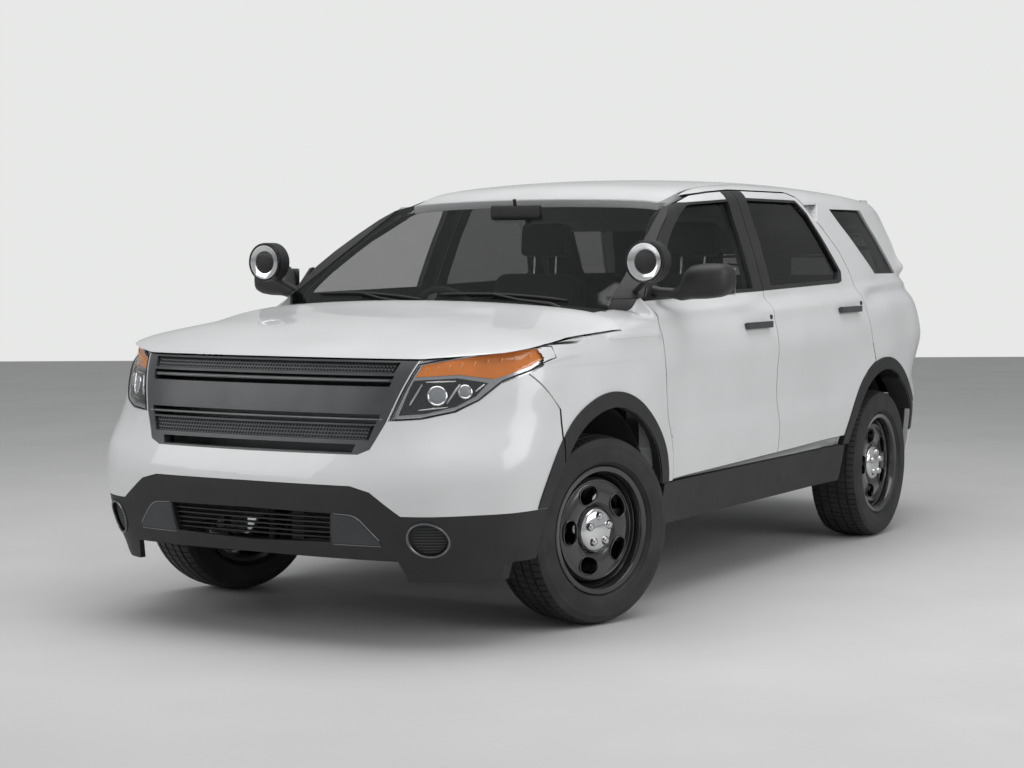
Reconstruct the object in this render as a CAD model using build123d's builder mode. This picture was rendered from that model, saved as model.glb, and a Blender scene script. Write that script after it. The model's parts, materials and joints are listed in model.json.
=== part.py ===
from build123d import *
import math
import os

os.makedirs("parts", exist_ok=True)

# ---------------------------------------------------------------- driving dimensions, mm
# The origin is on the ground under the middle of the car; the front faces -Y, +X is its left.
front_axle_y = -1510.0
wheelbase = 2860.0
rear_axle_y = front_axle_y + wheelbase
half_track = 851.0
kingpin_x = 835.0
parked_steer = -15.86          # degrees the front wheels stand turned, as parked
tyre_radius = 363.0
tyre_width = 245.0
rim_radius = 231.0             # where the tyre bead sits
rim_width = 216.0
disc_face = 78.0               # outer face of the wheel disc, from the wheel's middle
slots = 5
slot_ring = 148.0
cap_radius = 62.0
hub_bore = 34.0
rotor_radius = 172.0
arch_radius = 462.0
arch_trim = 60.0               # width of the black arch trim
arch_z = 370.0
trim_proud = 6.0
shut_gap = 7.0
moving_gap = 6.0               # a moving piece clears its neighbours by this
front_hinge_back = 48.0        # hinge line behind the front edge of each door
rear_hinge_back = 30.0
front_hinge_cover = 6.0        # hinge line below the skin
rear_hinge_cover = 10.0
grille_inset = 3.0             # the grille's face behind the nose outline
grille_back = 42.0
mesh_inset = 20.0              # mesh panels behind the nose outline
mesh_wall = 6.0
frame_lean = 0.35              # how far the grille's ends lean inward for each height
fin_depth = 30.0               # fins in the lower opening, front to back
fin_wall = 5.0
fascia_open = 362.0            # half width of the lower opening
fog_recess = 14.0
fog_blank = (709.0, 409.0, 58.0)       # x, z and radius of the round lamp blanks
skin = 25.0                    # depth of fenders, bumpers and cladding
door_skin = 35.0
frame_skin = 26.0
door_depth = 96.0
frame_depth = 60.0
ring_out = 50.0                # depth of the body opening behind the doors
ring_in = 100.0
rail_out = 36.0
rail_in = 72.0
door_step = 66.0               # inner part of a door is this much smaller all round
ring_step = 40.0
glass_out = 12.0
glass_in = 17.0
hood_skin = 20.0
floor_z = 320.0
floor_thick = 24.0
ditch = 12.0                   # width of the gap beside the roof panel
seat = 0.3                     # gap between pieces that are bolted or clipped together
running = 0.3                  # play of a pin in its bore
pin_radius = 4.0
front_hinge_levels = (680.0, 930.0)
rear_hinge_levels = (630.0, 960.0)
hood_hinge = (-1345.0, 1196.0)
hood_hinge_x = 520.0
gate_hinge = (2135.0, 1688.0)
gate_hinge_x = 220.0


def through(points):
    """A smooth value through (station, value) points, level beyond the ends."""
    s = [p[0] for p in points]
    v = [p[1] for p in points]
    n = len(s)
    d = [(v[i + 1] - v[i]) / (s[i + 1] - s[i]) for i in range(n - 1)]
    m = [d[0]]
    for i in range(1, n - 1):
        m.append(0.0 if d[i - 1] * d[i] <= 0 else 2 * d[i - 1] * d[i] / (d[i - 1] + d[i]))
    m.append(d[-1])

    def value(x):
        if x <= s[0]:
            return v[0]
        if x >= s[-1]:
            return v[-1]
        i = next(k for k in range(n - 1) if x <= s[k + 1])
        h = s[i + 1] - s[i]
        t = (x - s[i]) / h
        a = (2 * t**3 - 3 * t**2 + 1) * v[i] + (t**3 - 2 * t**2 + t) * h * m[i]
        b = (-2 * t**3 + 3 * t**2) * v[i + 1] + (t**3 - t**2) * h * m[i + 1]
        return a + b
    return value


def smooth(t):
    t = min(1, max(0, t))
    return t * t * (3 - 2 * t)


def mix(a, b, t):
    return a + (b - a) * t


# ---------------------------------------------------------------- shape of the body
nose_y = through([(180, -2400), (300, -2448), (450, -2494), (560, -2503), (640, -2494),
                  (720, -2464), (900, -2425), (1000, -2390), (1060, -2352), (1300, -2180)])
tail_y = through([(180, 2400), (300, 2445), (450, 2492), (560, 2503), (640, 2500), (700, 2480),
                  (760, 2440), (900, 2425), (1050, 2405), (1160, 2385), (1250, 2364), (1300, 2348),
                  (1400, 2318), (1550, 2262), (1650, 2195), (1720, 2130)])
side_x = through([(180, 874), (300, 916), (420, 944), (520, 960), (620, 976), (700, 980),
                  (900, 980), (1000, 977), (1100, 958), (1180, 934), (1300, 890)])
pane_x = through([(1236, 893), (1300, 874), (1450, 824), (1600, 768), (1650, 745), (1720, 700)])
belt_z = through([(-1500, 1176), (-1300, 1188), (-1050, 1206), (100, 1236), (1125, 1258),
                  (1900, 1285), (2500, 1290)])
roof_z = through([(-1400, 1640), (-447, 1654), (-250, 1706), (0, 1741), (350, 1757), (800, 1756),
                  (1400, 1740), (1900, 1716), (2300, 1690)])
roof_w = through([(-1400, 700), (-430, 716), (100, 742), (500, 750), (1400, 748), (1700, 735),
                  (1950, 706), (2080, 660), (2300, 600)])
hood_z = through([(-2440, 1015), (-2350, 1043), (-2283, 1062), (-2200, 1085), (-2100, 1108),
                  (-1945, 1140), (-1600, 1190), (-1300, 1224), (-1100, 1232)])
hood_w = through([(-2440, 0.45), (-2350, 0.56), (-2283, 0.67), (-2200, 0.80), (-2100, 0.927),
                  (-1945, 0.995), (-1800, 1.0)])
hood_drop = through([(-2440, 0.05), (-2350, 0.10), (-2283, 0.27), (-2200, 0.45), (-2100, 0.62),
                     (-1945, 0.77), (-1700, 1.0)])
screen_foot = (-1262.0, 1220.0)
screen_slope = 1.9
flare = 14.0
scallop = 13.0
scallop_z = through([(640, 0), (760, 1), (880, 0.75), (985, 0)])
nose_share = (0, 0.35, 0.60, 0.78, 0.89, 0.955, 0.985)
nose_low = (0, 12, 45, 112, 225, 310, 400)
nose_high = (0, 14, 60, 178, 290, 378, 480)
tail_share = (0.985, 0.955, 0.89, 0.845, 0.78, 0.60, 0.35, 0)
tail_low = (775, 610, 430, 292, 172, 62, 18, 0)
tail_high = (515, 432, 275, 185, 112, 45, 12, 0)
nose_levels = (220, 300, 380, 460, 530, 600, 680, 760, 840, 910, 970, 1020, 1060, 1110)
tail_levels = (280, 380, 470, 560, 640, 700, 770, 860, 960, 1060, 1150, 1230, 1290, 1370, 1460,
               1550, 1640, 1720)
fender_stations = (-2150, -2060, -1960, -1840, -1700, -1510, -1350, -1200, -1060, -900)
side_stations = (-1200, -1060, -900, -700, -450, -200, 100, 400, 700, 950, 1150, 1350, 1550, 1750,
                 1900, 2000)
hood_stations = (-2440, -2350, -2283, -2200, -2100, -1945, -1750, -1500, -1300, -1100)
roof_stations = (-700, -520, -400, -250, -100, 100, 400, 800, 1200, 1600, 1900, 2200)


def crown_at(y):
    """Share of the roof's cross curve: the roof is flatter over the screen."""
    return mix(0.5, 1, smooth((y + 600) / 700))


def flare_at(y, z):
    r = min(math.hypot(y - a, z - tyre_radius) for a in (front_axle_y, rear_axle_y))
    return flare * smooth((650 - r) / 160)


def level_width(z):
    return side_x(z) if z < 1200 else min(side_x(z), pane_x(z) + 8)


def nose_half(z):
    """Half outline of the nose at a height, from the middle out to the side."""
    w = level_width(z)
    t = smooth((z - 650) / 230)
    points = []
    for f, a, b in zip(nose_share, nose_low, nose_high):
        y = nose_y(z) + mix(a, b, t)
        points.append((f * w + (flare_at(y, z) if f > 0.85 else 0), y))
    return points


def tail_half(z):
    """Half outline of the tail at a height, from the side in to the middle."""
    w = level_width(z)
    t = smooth((z - 680) / 350)
    points = []
    for f, a, b in zip(tail_share, tail_low, tail_high):
        y = tail_y(z) - mix(a, b, t)
        points.append((f * w + (flare_at(y, z) if f > 0.8 else 0), y))
    return points


def side_points(z, stations, y0, y1):
    """Outline of the side at a height, between the nose and the tail outlines."""
    points = []
    for y in stations:
        narrow = mix(0.985, 1.0, smooth((y - y0) / 330))
        narrow *= mix(1, 0.985, smooth((y - (y1 - 500)) / 500))
        hollow = scallop * scallop_z(z) * smooth((y + 1060) / 200) * smooth((930 - y) / 260)
        points.append(((level_width(z) + flare_at(y, z) - hollow) * narrow, y))
    return points


def level_half(z):
    """Half outline of the car at a height, from the nose round to the tail."""
    nose = nose_half(z)
    tail = tail_half(z)
    y0, y1 = nose[-1][1], tail[0][1]
    n = 26
    return nose + side_points(z, [mix(y0, y1, k / n) for k in range(1, n)], y0, y1) + tail


levels = {}


def side_at(y, z):
    """How far the skin stands from the middle at a place on the side."""
    key = round(z)
    if key not in levels:
        half = [p for p in level_half(key) if p[0] > 300]
        levels[key] = through([(p[1], p[0]) for p in half])
    return levels[key](y)


def side_profile(y):
    """Section of the side at a station, from the sill up and over the roof rail."""
    belt = belt_z(y)
    points = [(side_at(y, z), z) for z in (260, 340, 420, 500, 580, 660, 740, 820, 900, 980, 1050)]
    points += [(side_at(y, belt - d), belt - d) for d in (110, 65, 30)]
    points.append((side_at(y, belt) - 8, belt))
    rail = roof_z(y)
    wide = roof_w(y)
    rear = mix(1.0, 0.975, smooth((y - 1400) / 500))
    k = crown_at(y)
    top = [(wide, rail - 94 * k), (wide * 0.955, rail - 60 * k), (wide * 0.88, rail - 38 * k),
           (wide * 0.80, rail - 26 * k)]
    z0 = belt + 32
    low = (pane_x(z0) * rear * mix(0.985, 1, smooth((y + 1200) / 700)), z0)
    points.append(low)
    n = 5
    for k in range(1, n):
        z = mix(z0, top[0][1], k / n)
        bow = 7 * math.sin(math.pi * k / n)
        points.append((mix(low[0], wide, k / n) + bow, z))
    return points + top


def skin_x(y, z):
    """How far the skin stands from the middle, also above the belt."""
    return through([(v, x) for x, v in side_profile(y)])(z)


def moved_in(points, depth):
    """Points moved to the left of their direction by a depth for each."""
    out = []
    for i, (x, z) in enumerate(points):
        a = points[max(0, i - 1)]
        b = points[min(len(points) - 1, i + 1)]
        size = math.hypot(b[0] - a[0], b[1] - a[1])
        d = depth(x, z)
        out.append((x - (b[1] - a[1]) / size * d, z + (b[0] - a[0]) / size * d))
    return out


def run_shares(points):
    """Share of an open curve's run at each of its points."""
    run = [0.0]
    for a, b in zip(points, points[1:]):
        run.append(run[-1] + math.dist(a, b))
    return [r / run[-1] for r in run]


def smooth_line(points, shares):
    """Curve through points with its knots at the given shares of its run."""
    edge = Edge.make_spline([Vector(*p) for p in points], parameters=shares)
    add(edge)
    return edge


def shared_knots(curves):
    """Shares for a loft whose sections are alike: the mean of what each would have."""
    return [sum(s) / len(curves) for s in zip(*(run_shares(c) for c in curves))]


def wall_loft(sections, alike=True):
    """Thin wall through sections, each a plane with an outer and an inner open curve."""
    shares = shared_knots([outer for _, outer, _ in sections])
    with BuildPart() as wall:
        for plane, outer, inner in sections:
            with BuildSketch(plane):
                with BuildLine():
                    a = smooth_line(outer, shares if alike else run_shares(outer))
                    b = smooth_line(inner, shares if alike else run_shares(inner))
                    Line(a @ 0, b @ 0)
                    Line(a @ 1, b @ 1)
                make_face()
        loft()
    return wall.part


def station(y):
    """Plane across the car at a distance along it, seen with the left side at +X."""
    return Plane.XZ.offset(-y)


def side_inset(y, low, up):
    """Side section moved inward: level at the doors, turning downward over the roof rail."""
    points = side_profile(y)
    belt = belt_z(y)
    n = len(points)
    out = []
    for i, (x, z) in enumerate(points):
        d = mix(low, up, smooth((z - belt + 60) / 110))
        turn = math.radians((0, 8, 28, 50, 68, 78)[max(0, i - (n - 6))])
        out.append((x - d * math.cos(turn), z - d * math.sin(turn)))
    return out


store = {}


def side_wall(low, up):
    """Left side of the car as a wall between two depths, given below and above the belt."""
    if ("side", low, up) in store:
        return store[("side", low, up)]
    store[("side", low, up)] = wall_loft([
        (station(y), side_inset(y, low[0], up[0]), side_inset(y, low[1], up[1]))
        for y in side_stations])
    return store[("side", low, up)]


def fender_wall(outer, inner):
    """Left side ahead of the doors, below the hood."""
    if ("fender", outer, inner) in store:
        return store[("fender", outer, inner)]
    heights = (260, 360, 460, 560, 660, 760, 860, 960, 1040, 1100, 1140)
    store[("fender", outer, inner)] = wall_loft([
        (station(y), [(side_at(y, z) - outer, z) for z in heights],
         [(side_at(y, z) - inner, z) for z in heights]) for y in fender_stations])
    return store[("fender", outer, inner)]


def level_wall(name, heights, half_at, outer, inner):
    """Wall round the nose or the tail between two depths, from level sections."""
    if (name, outer, inner) in store:
        return store[(name, outer, inner)]
    sections = []
    for z in heights:
        half = half_at(z)
        points = [(-x, y) for x, y in half[:0:-1]] + half
        side = 1 if half[0][1] < 0 else -1
        sections.append((Plane.XY.offset(z), moved_in(points, lambda x, y: side * outer),
                         moved_in(points, lambda x, y: side * inner)))
    store[(name, outer, inner)] = wall_loft(sections)
    return store[(name, outer, inner)]


def nose_round(z):
    """Nose outline with a piece of each side behind it."""
    nose = nose_half(z)
    y0 = nose[-1][1]
    return nose + side_points(z, [y0 + d for d in (90, 180, 290, 400)], y0, tail_half(z)[0][1])


def tail_round(z):
    """Tail outline, from the middle out, with a piece of each side ahead of it."""
    tail = tail_half(z)
    y1 = tail[0][1]
    return tail[::-1] + side_points(z, [y1 - d for d in (90, 180, 290)], nose_half(z)[-1][1], y1)


def nose_wall(outer, inner):
    return level_wall("nose", nose_levels, nose_round, outer, inner)


def tail_wall(outer, inner):
    return level_wall("tail", tail_levels, tail_round, outer, inner)


def hood_section(y, inset):
    shape = ((0, 0), (250, 3), (450, 11), (650, 24), (800, 42), (880, 58), (930, 74), (955, 92),
             (972, 125), (980, 165))
    s = hood_w(y)
    d = hood_drop(y)
    half = [(x * s, hood_z(y) - drop * d) for x, drop in shape]
    pts = [(-x, z) for x, z in half[:0:-1]] + half
    return moved_in(pts, lambda x, z: -inset)


def roof_half(y, inset):
    shape = ((0, 0), (0.25, 2), (0.45, 7), (0.65, 15), (0.80, 26), (0.88, 38))
    half = [(x * roof_w(y), roof_z(y) - drop * crown_at(y)) for x, drop in shape]
    pts = [(-x, z) for x, z in half[:0:-1]] + half
    return moved_in(pts, lambda x, z: -inset)


def top_wall(section, stations, outer, inner, name, alike):
    if (name, outer, inner) in store:
        return store[(name, outer, inner)]
    store[(name, outer, inner)] = wall_loft(
        [(station(y), section(y, outer), section(y, inner)) for y in stations], alike)
    return store[(name, outer, inner)]


def hood_wall(outer, inner, first=0):
    return top_wall(hood_section, hood_stations[first:], outer, inner, f"hood{first}",
                    False)


def roof_wall(outer, inner):
    return top_wall(roof_half, roof_stations, outer, inner, "roof", True)


def prism(plane, points, depth, corner=0):
    """A straight-sided block from a closed outline."""
    with BuildPart() as block:
        with BuildSketch(plane) as sketch:
            with BuildLine():
                Polyline(*points, close=True)
            make_face()
            if corner:
                fillet(sketch.vertices(), corner)
        extrude(amount=depth)
    return block.part


# ---------------------------------------------------------------- outlines seen from the side (y, z)
front_door = [(-968, 505), (-1034, 762), (-1053, 976), (-1052, 1121), (-1062, 1222), (-905, 1362),
              (-668, 1509), (-453, 1618), (-350, 1645), (-250, 1661), (-100, 1676),
              (118, 1690), (78, 1240),
              (62, 1000), (58, 800), (86, 524)]
rear_door = [(93, 524), (65, 800), (69, 1000), (85, 1240), (125, 1690), (700, 1690), (785, 1670),
             (872, 1602), (960, 1536), (1095, 1416), (1160, 1306), (1178, 1194), (1198, 998),
             (1216, 860), (1216, 541), (860, 541)]
front_pane = [(-1000, 1240), (-640, 1470), (-440, 1576), (-335, 1620), (20, 1640), (-20, 1254)]
rear_pane = [(180, 1260), (205, 1648), (745, 1646), (840, 1580), (1020, 1320), (985, 1280)]
quarter_pane = [(1500, 1302), (1150, 1622), (1590, 1622), (1840, 1300)]
hood_seam = [(-2700, 1043), (-2337, 1043), (-2283, 1042), (-2100, 1062), (-1933, 1086),
             (-1755, 1104), (-1440, 1123), (-1300, 1123), (-1300, 1500), (-2700, 1500)]
fender_seam = [(-2060, 1200), (-2052, 1000), (-1890, 850), (-1890, 480), (-900, 480), (-900, 1200)]
# outlines seen from the front (x, z), left half
lamp_face = [(552, 824), (624, 1036), (770, 1066), (960, 1094), (968, 1037), (930, 990),
             (862, 952), (814, 893), (758, 855), (663, 831)]
grille_face = [(0, 1038), (619, 1036), (547, 822), (500, 725), (455, 706), (0, 704)]
mesh_panels = [(560, 992, 1030), (505, 757, 808)]      # half width at the top, low, high
thin_bars = [(548, 961, 972), (515, 826, 834)]
grille_slots = [(550, 972, 983), (545, 945, 961), (522, 834, 848), (512, 814, 826),
                (440, 712, 742)]
fascia_fins = (403, 421, 439, 457, 475)
fascia_top = [(0, 598), (443, 597), (520, 577), (632, 495), (1100, 495)]
gate_face = [(0, 640), (640, 640), (690, 800), (700, 1100), (704, 1250), (640, 1640), (625, 1800),
             (0, 1800)]
gate_pane = [(0, 1285), (600, 1285), (535, 1560), (0, 1580)]


def flat(points, grow=0.0):
    """A flat face from a closed outline, made larger or smaller."""
    with BuildSketch() as face:
        with BuildLine():
            Polyline(*points, close=True)
        make_face()
        if grow:
            offset(amount=grow, kind=Kind.INTERSECTION)
    return face.sketch


def side_block(points, x0=300, x1=1150, grow=0.0, holes=()):
    """Block through the left side of the car from a side outline with holes in it."""
    with BuildPart() as block:
        with BuildSketch(Plane.YZ.offset(x0)):
            add(flat(points, grow))
            for outline, more in holes:
                add(flat(outline, more), mode=Mode.SUBTRACT)
        extrude(amount=x1 - x0)
    return block.part


def face_block(points, y0, y1, grow=0.0):
    """Block along the car from a half outline seen from the front, and its mirror image."""
    other = [(-x, z) for x, z in reversed(points) if x > 0]
    with BuildPart() as block:
        with BuildSketch(Plane.XZ.offset(-y0)):
            with BuildLine():
                Polyline(*points, *other, close=True)
            make_face()
            if grow:
                offset(amount=grow, kind=Kind.INTERSECTION)
        extrude(amount=y0 - y1)
    return block.part


def face_block_left(points, y0, y1):
    """Block along the car from an outline on the left of its front."""
    return prism(Plane.XZ.offset(-y0), points, y0 - y1)


def plan_block(half, z0, z1, grow=0.0):
    """Upright block from a half outline seen from above, and its mirror image."""
    other = [(-x, y) for x, y in reversed(half) if x > 0]
    with BuildPart() as block:
        with BuildSketch(Plane.XY.offset(z0)):
            with BuildLine():
                Polyline(*half, *other, close=True)
            make_face()
            if grow:
                offset(amount=grow, kind=Kind.INTERSECTION)
        extrude(amount=z1 - z0)
    return block.part


def box(x0, x1, y0, y1, z0, z1):
    with BuildPart() as block:
        with Locations(((x0 + x1) / 2, (y0 + y1) / 2, (z0 + z1) / 2)):
            Box(x1 - x0, y1 - y0, z1 - z0)
    return block.part


def across(y, z, radius, x0, x1):
    """Cylinder across the car."""
    with BuildPart() as drum:
        with BuildSketch(Plane.YZ.offset(x0)):
            with Locations((y, z)):
                Circle(radius)
        extrude(amount=x1 - x0)
    return drum.part


def upright(x, y, z0, z1, radius):
    with BuildPart() as pin:
        with Locations((x, y, (z0 + z1) / 2)):
            Cylinder(radius, z1 - z0)
    return pin.part


def rod(a, b, radius):
    """Round bar between two points."""
    way = Vector(*b) - Vector(*a)
    with BuildPart() as bar:
        with BuildSketch(Plane(origin=a, z_dir=way)):
            Circle(radius)
        extrude(amount=way.length)
    return bar.part


def arch(axle, grow=0.0, x0=300, x1=1150):
    shift = -18 if axle == front_axle_y else -2
    return across(axle + shift, arch_z, arch_radius + grow, x0, x1)


def flipped(part):
    return mirror(part, about=Plane.YZ)


def both(part):
    return Compound(children=[part, flipped(part)])


def cut_both(part, tool):
    return part - tool - flipped(tool)


def save(part, name, least=500):
    solids = [s for s in part.solids() if s.volume > least]
    shape = solids[0] if len(solids) == 1 else Compound(children=solids)
    shape.label = name
    export_step(shape, f"parts/{name}.step")
    print(name, len(solids))


# ---------------------------------------------------------------- doors
def hinge_line(edge_y, back, cover, levels):
    """The two places of a door's hinge pins: at a depth below the skin, so the line leans with it."""
    y = edge_y + back
    return [Vector(skin_x(y, z) - cover, y, z) for z in levels]


front_hinge = hinge_line(front_door[2][0], front_hinge_back, front_hinge_cover, front_hinge_levels)
rear_hinge = hinge_line(rear_door[1][0], rear_hinge_back, rear_hinge_cover, rear_hinge_levels)


def door_shell(shut, window):
    """Outer skin with the window frame, and the deeper inner panel below the belt."""
    zone = side_block(shut, holes=[(window, 0)])
    outer = side_wall((0, door_skin), (0, frame_skin)) & zone
    deep = side_block(shut, grow=-door_step, holes=[([(-1300, 1190), (-1300, 1900), (1400, 1900),
                                                     (1400, 1190)], 0)])
    inner = side_wall((door_skin - 2, door_depth), (frame_skin - 2, frame_depth)) & deep
    return outer + inner


def hinge_cut(part, line):
    """Bores and notches for the two hinge pins of a door."""
    way = (line[1] - line[0]).normalized()
    for p in line:
        part -= rod(p - way * 4, p + way * 34, pin_radius + running)
        part -= box(p.X - 60, p.X + pin_radius + 1.2, p.Y - 60, p.Y + pin_radius + 1.2,
                    p.Z - 5.5, p.Z + 5.5)
    return part


def hinge_pins(line):
    """The body's half of the hinges: a leaf from the pillar with a pin that stands in the door."""
    way = (line[1] - line[0]).normalized()
    pins = []
    for p in line:
        leaf = box(p.X - 78, p.X, p.Y - pin_radius, p.Y + pin_radius, p.Z - 4, p.Z + 4)
        pins.append(leaf + rod(p - way * 4, p + way * 30, pin_radius))
    return pins


def belt_room(z):
    """The door is deeper at the belt, where its skin turns inward."""
    return mix(0, 14, min(1, max(0, (z - 1121) / 100)))


def hinge_pocket(line, shut):
    """Room in the pillar for the door's front edge, which swings inward ahead of the hinge."""
    way = (line[1] - line[0]).normalized()
    edge = through(sorted((z, y) for y, z in shut[:5]))
    with BuildPart() as room:
        for z in (560, 640, 760, 930, 1060, 1121, 1180, 1250):
            p = line[0] + way * ((z - line[0].Z) / way.Z)
            inward = p.X - skin_x(edge(z), z) + door_skin
            with BuildSketch(Plane.XY.offset(z)):
                with Locations((p.X, p.Y)):
                    Circle(math.hypot(inward, p.Y - edge(z)) + moving_gap + belt_room(z))
        loft(ruled=True)
    return room.part & side_block(shut, grow=shut_gap)


def front_door_left():
    part = door_shell(front_door, front_pane) - roof_zone(50, -900)
    return hinge_cut(part, front_hinge)


def rear_door_left():
    part = door_shell(rear_door, rear_pane) - roof_zone(50, -900)
    part -= arch(rear_axle_y, arch_trim + 3)
    return hinge_cut(part, rear_hinge)


def side_pane(points):
    return side_wall((glass_out, glass_in), (glass_out, glass_in)) & side_block(points)


# ---------------------------------------------------------------- body side
def gate_block(grow=0.0):
    return face_block(gate_face, 2700, 1800, grow) & box(-1000, 1000, 1900, 2700, 560, 1900)


def lamp_rear_block():
    block = face_block_left([(726, 1105), (790, 1100), (990, 1112), (990, 1236), (726, 1236)],
                            2700, 1900)
    return block & side_block([(1990, 1000), (2060, 1100), (1955, 1240), (1955, 1300), (2700, 1300),
                               (2700, 1000)])


def side_zones():
    """Side outlines of the quarter panel with the roof rail, of the door ring, and of the sill."""
    foot = floor_z + floor_thick
    whole = [(-1130, foot), (-1130, 1085), (-1050, 1085), (-1050, 1226), (-893, 1364), (-656, 1511),
             (-440, 1622), (-440, 1800), (1950, 1800), (1950, 641), (1743, 641), (1743, 560),
             (1240, 560), (1240, foot)]
    rail = [(-440, 1600), (-440, 1800), (1950, 1800), (1950, 641), (1743, 641), (1743, 560),
            (900, 560), (900, 1500), (1000, 1642)]
    panel = flat(rail) - flat(front_door, shut_gap) - flat(rear_door, shut_gap)
    panel -= flat(quarter_pane)
    sill = flat([(-1050, foot), (-1050, 490), (900, 490), (900, foot)])
    ring = flat(whole) - panel - sill - flat(quarter_pane)
    ring = ring - flat(front_door, -ring_step) - flat(rear_door, -ring_step)
    return panel, ring, sill


def through_side(face):
    """Block through the left side from a flat face."""
    with BuildPart() as block:
        with BuildSketch(Plane.YZ.offset(300)):
            add(face)
        extrude(amount=850)
    return block.part


def body_side_left():
    """Quarter panel, roof rail, pillars and sill in one, with the hinge pins of the doors."""
    panel, ring, sill = side_zones()
    part = side_wall((0, ring_in), (0, rail_in)) & through_side(panel + ring + sill)
    part -= roof_zone(ditch, -900)
    part -= arch(rear_axle_y)
    part -= arch(front_axle_y, 20)
    part -= side_wall((-5, ring_out), (-5, rail_out)) & through_side(ring)
    part -= side_wall((-5, skin), (-5, skin)) & through_side(sill)
    part -= gate_block(shut_gap)
    part -= hinge_pocket(front_hinge, front_door)
    for pin in hinge_pins(front_hinge) + hinge_pins(rear_hinge):
        part += pin
    return part.solids().sort_by(SortBy.VOLUME)[-1]


def rear_corner_left():
    """Pillar between the quarter panel and the liftgate, round the tail lamp."""
    part = tail_wall(0, 60) & box(200, 1200, 1950 + seat, 2700, 641, 1800)
    part -= gate_block(shut_gap)
    part -= lamp_rear_block()
    part = part & under_roof()
    return part - roof_zone(ditch, -900)


def under_roof():
    """Everything below the roof skin."""
    tops = {y: [(-x, z) for x, z in roof_edge_half(y)[:0:-1]] + roof_edge_half(y)
            for y in (1500, 1900, 2200, 2700)}
    shares = shared_knots(list(tops.values()))
    with BuildPart() as block:
        for y, points in tops.items():
            with BuildSketch(station(y)):
                with BuildLine():
                    a = smooth_line(points, shares)
                    b = Line(a @ 1, ((a @ 1).X, 500))
                    c = Line(b @ 1, ((a @ 0).X, 500))
                    Line(c @ 1, a @ 0)
                make_face()
        loft()
    return block.part


def roof_edge_half(y):
    top = roof_z(min(y, 2300)) - max(0, y - 2300) * 0.15
    w = roof_w(1900)
    return [(0, top), (0.45 * w, top - 7), (0.8 * w, top - 26), (0.9 * w, top - 44),
            (0.97 * w, top - 75), (1.01 * w, top - 130), (1.2 * w, top - 520)]


def roof_outline(front=-428.0):
    """Half outline of the roof panel seen from above, between its two ditches."""
    rear = gate_hinge[0] - 23
    return [(0, front), (640, front), (640, -427), (630, -100), (622, 900), (606, 1700),
            (560, rear), (0, rear)]


def roof_zone(grow=0.0, front=-428.0):
    return plan_block(roof_outline(front), 1500, 1900, grow)


def ditch_left():
    """Black moulding that fills the ditch between the roof panel and the body side."""
    outline = roof_outline() + [(-x, y) for x, y in reversed(roof_outline()) if x > 0]
    strip = flat(outline, ditch - seat) - flat(outline, seat)
    strip = strip & flat([(300, -427), (900, -427), (900, 2095), (300, 2095)])
    with BuildPart() as block:
        with BuildSketch(Plane.XY.offset(1500)):
            add(strip)
        extrude(amount=400)
    return roof_wall(5, 30) & block.part


def roof_panel():
    part = roof_wall(0, rail_out) & roof_zone()
    y, z = gate_hinge
    for x in (gate_hinge_x, -gate_hinge_x):
        part += box(x - 9, x + 9, y - 60, y + 6, z - 5, z + 6)
        part += across(y, z, pin_radius, x - 20, x + 20)
    return part


# ---------------------------------------------------------------- front end
def hood_zone(grow=0.0):
    plan = [(0, -1330), (450, -1328), (760, -1330), (880, -1352), (932, -1400), (1150, -1412),
            (1150, -2700), (0, -2700)]
    return plan_block(plan, 900, 1400, grow) & side_block(hood_seam, -1150, 1150, grow)


def hood():
    part = hood_wall(0, hood_skin) & hood_zone()
    y, z = hood_hinge
    for x in (hood_hinge_x, -hood_hinge_x):
        part -= box(x - 12, x + 12, y - 17, y + 60, z - 90, z + pin_radius + 1.5)
        part -= across(y, z, pin_radius + running, x - 17, x + 17)
    return part


def hood_hinges():
    """Posts of the two hood hinges with their pins, on an arm from the front wall."""
    y, z = hood_hinge
    posts = []
    for x in (hood_hinge_x, -hood_hinge_x):
        post = box(x - 9, x + 9, y - 7, y + 7, z - 106, z)
        post += box(x - 9, x + 9, y - 7, -1140, z - 106, z - 80)
        posts.append(post + across(y, z, pin_radius, x - 16, x + 16))
    return posts


def fender_left():
    part = fender_wall(0, skin) & side_block(fender_seam)
    part -= side_block(front_door, grow=shut_gap)
    part -= hood_zone(shut_gap)
    part -= face_block_left(lamp_face, -1700, -2700)
    part -= arch(front_axle_y)
    part = part & box(300, 1200, -2100, -900, 500, 1122)
    top = hood_wall(0, skin, 4) & box(792, 1200, -1500, -1072, 1090, 1300)
    top -= hood_zone(shut_gap)
    return part + top


def front_bumper():
    part = nose_wall(0, skin)
    part &= face_block([(0, 598)] + fascia_top[1:] + [(1100, 1060), (0, 1060)], -1700, -2700)
    tool = side_block([(-2058, 1300), (-2058, 998), (-1897, 848), (-1897, 300), (-1200, 300),
                       (-1200, 1300)])
    part = cut_both(part, tool)
    part = part - hood_zone(shut_gap) - face_block(grille_face, -1800, -2800)
    part = cut_both(part, face_block_left(lamp_face, -1700, -2800))
    return cut_both(part, arch(front_axle_y))


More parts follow.
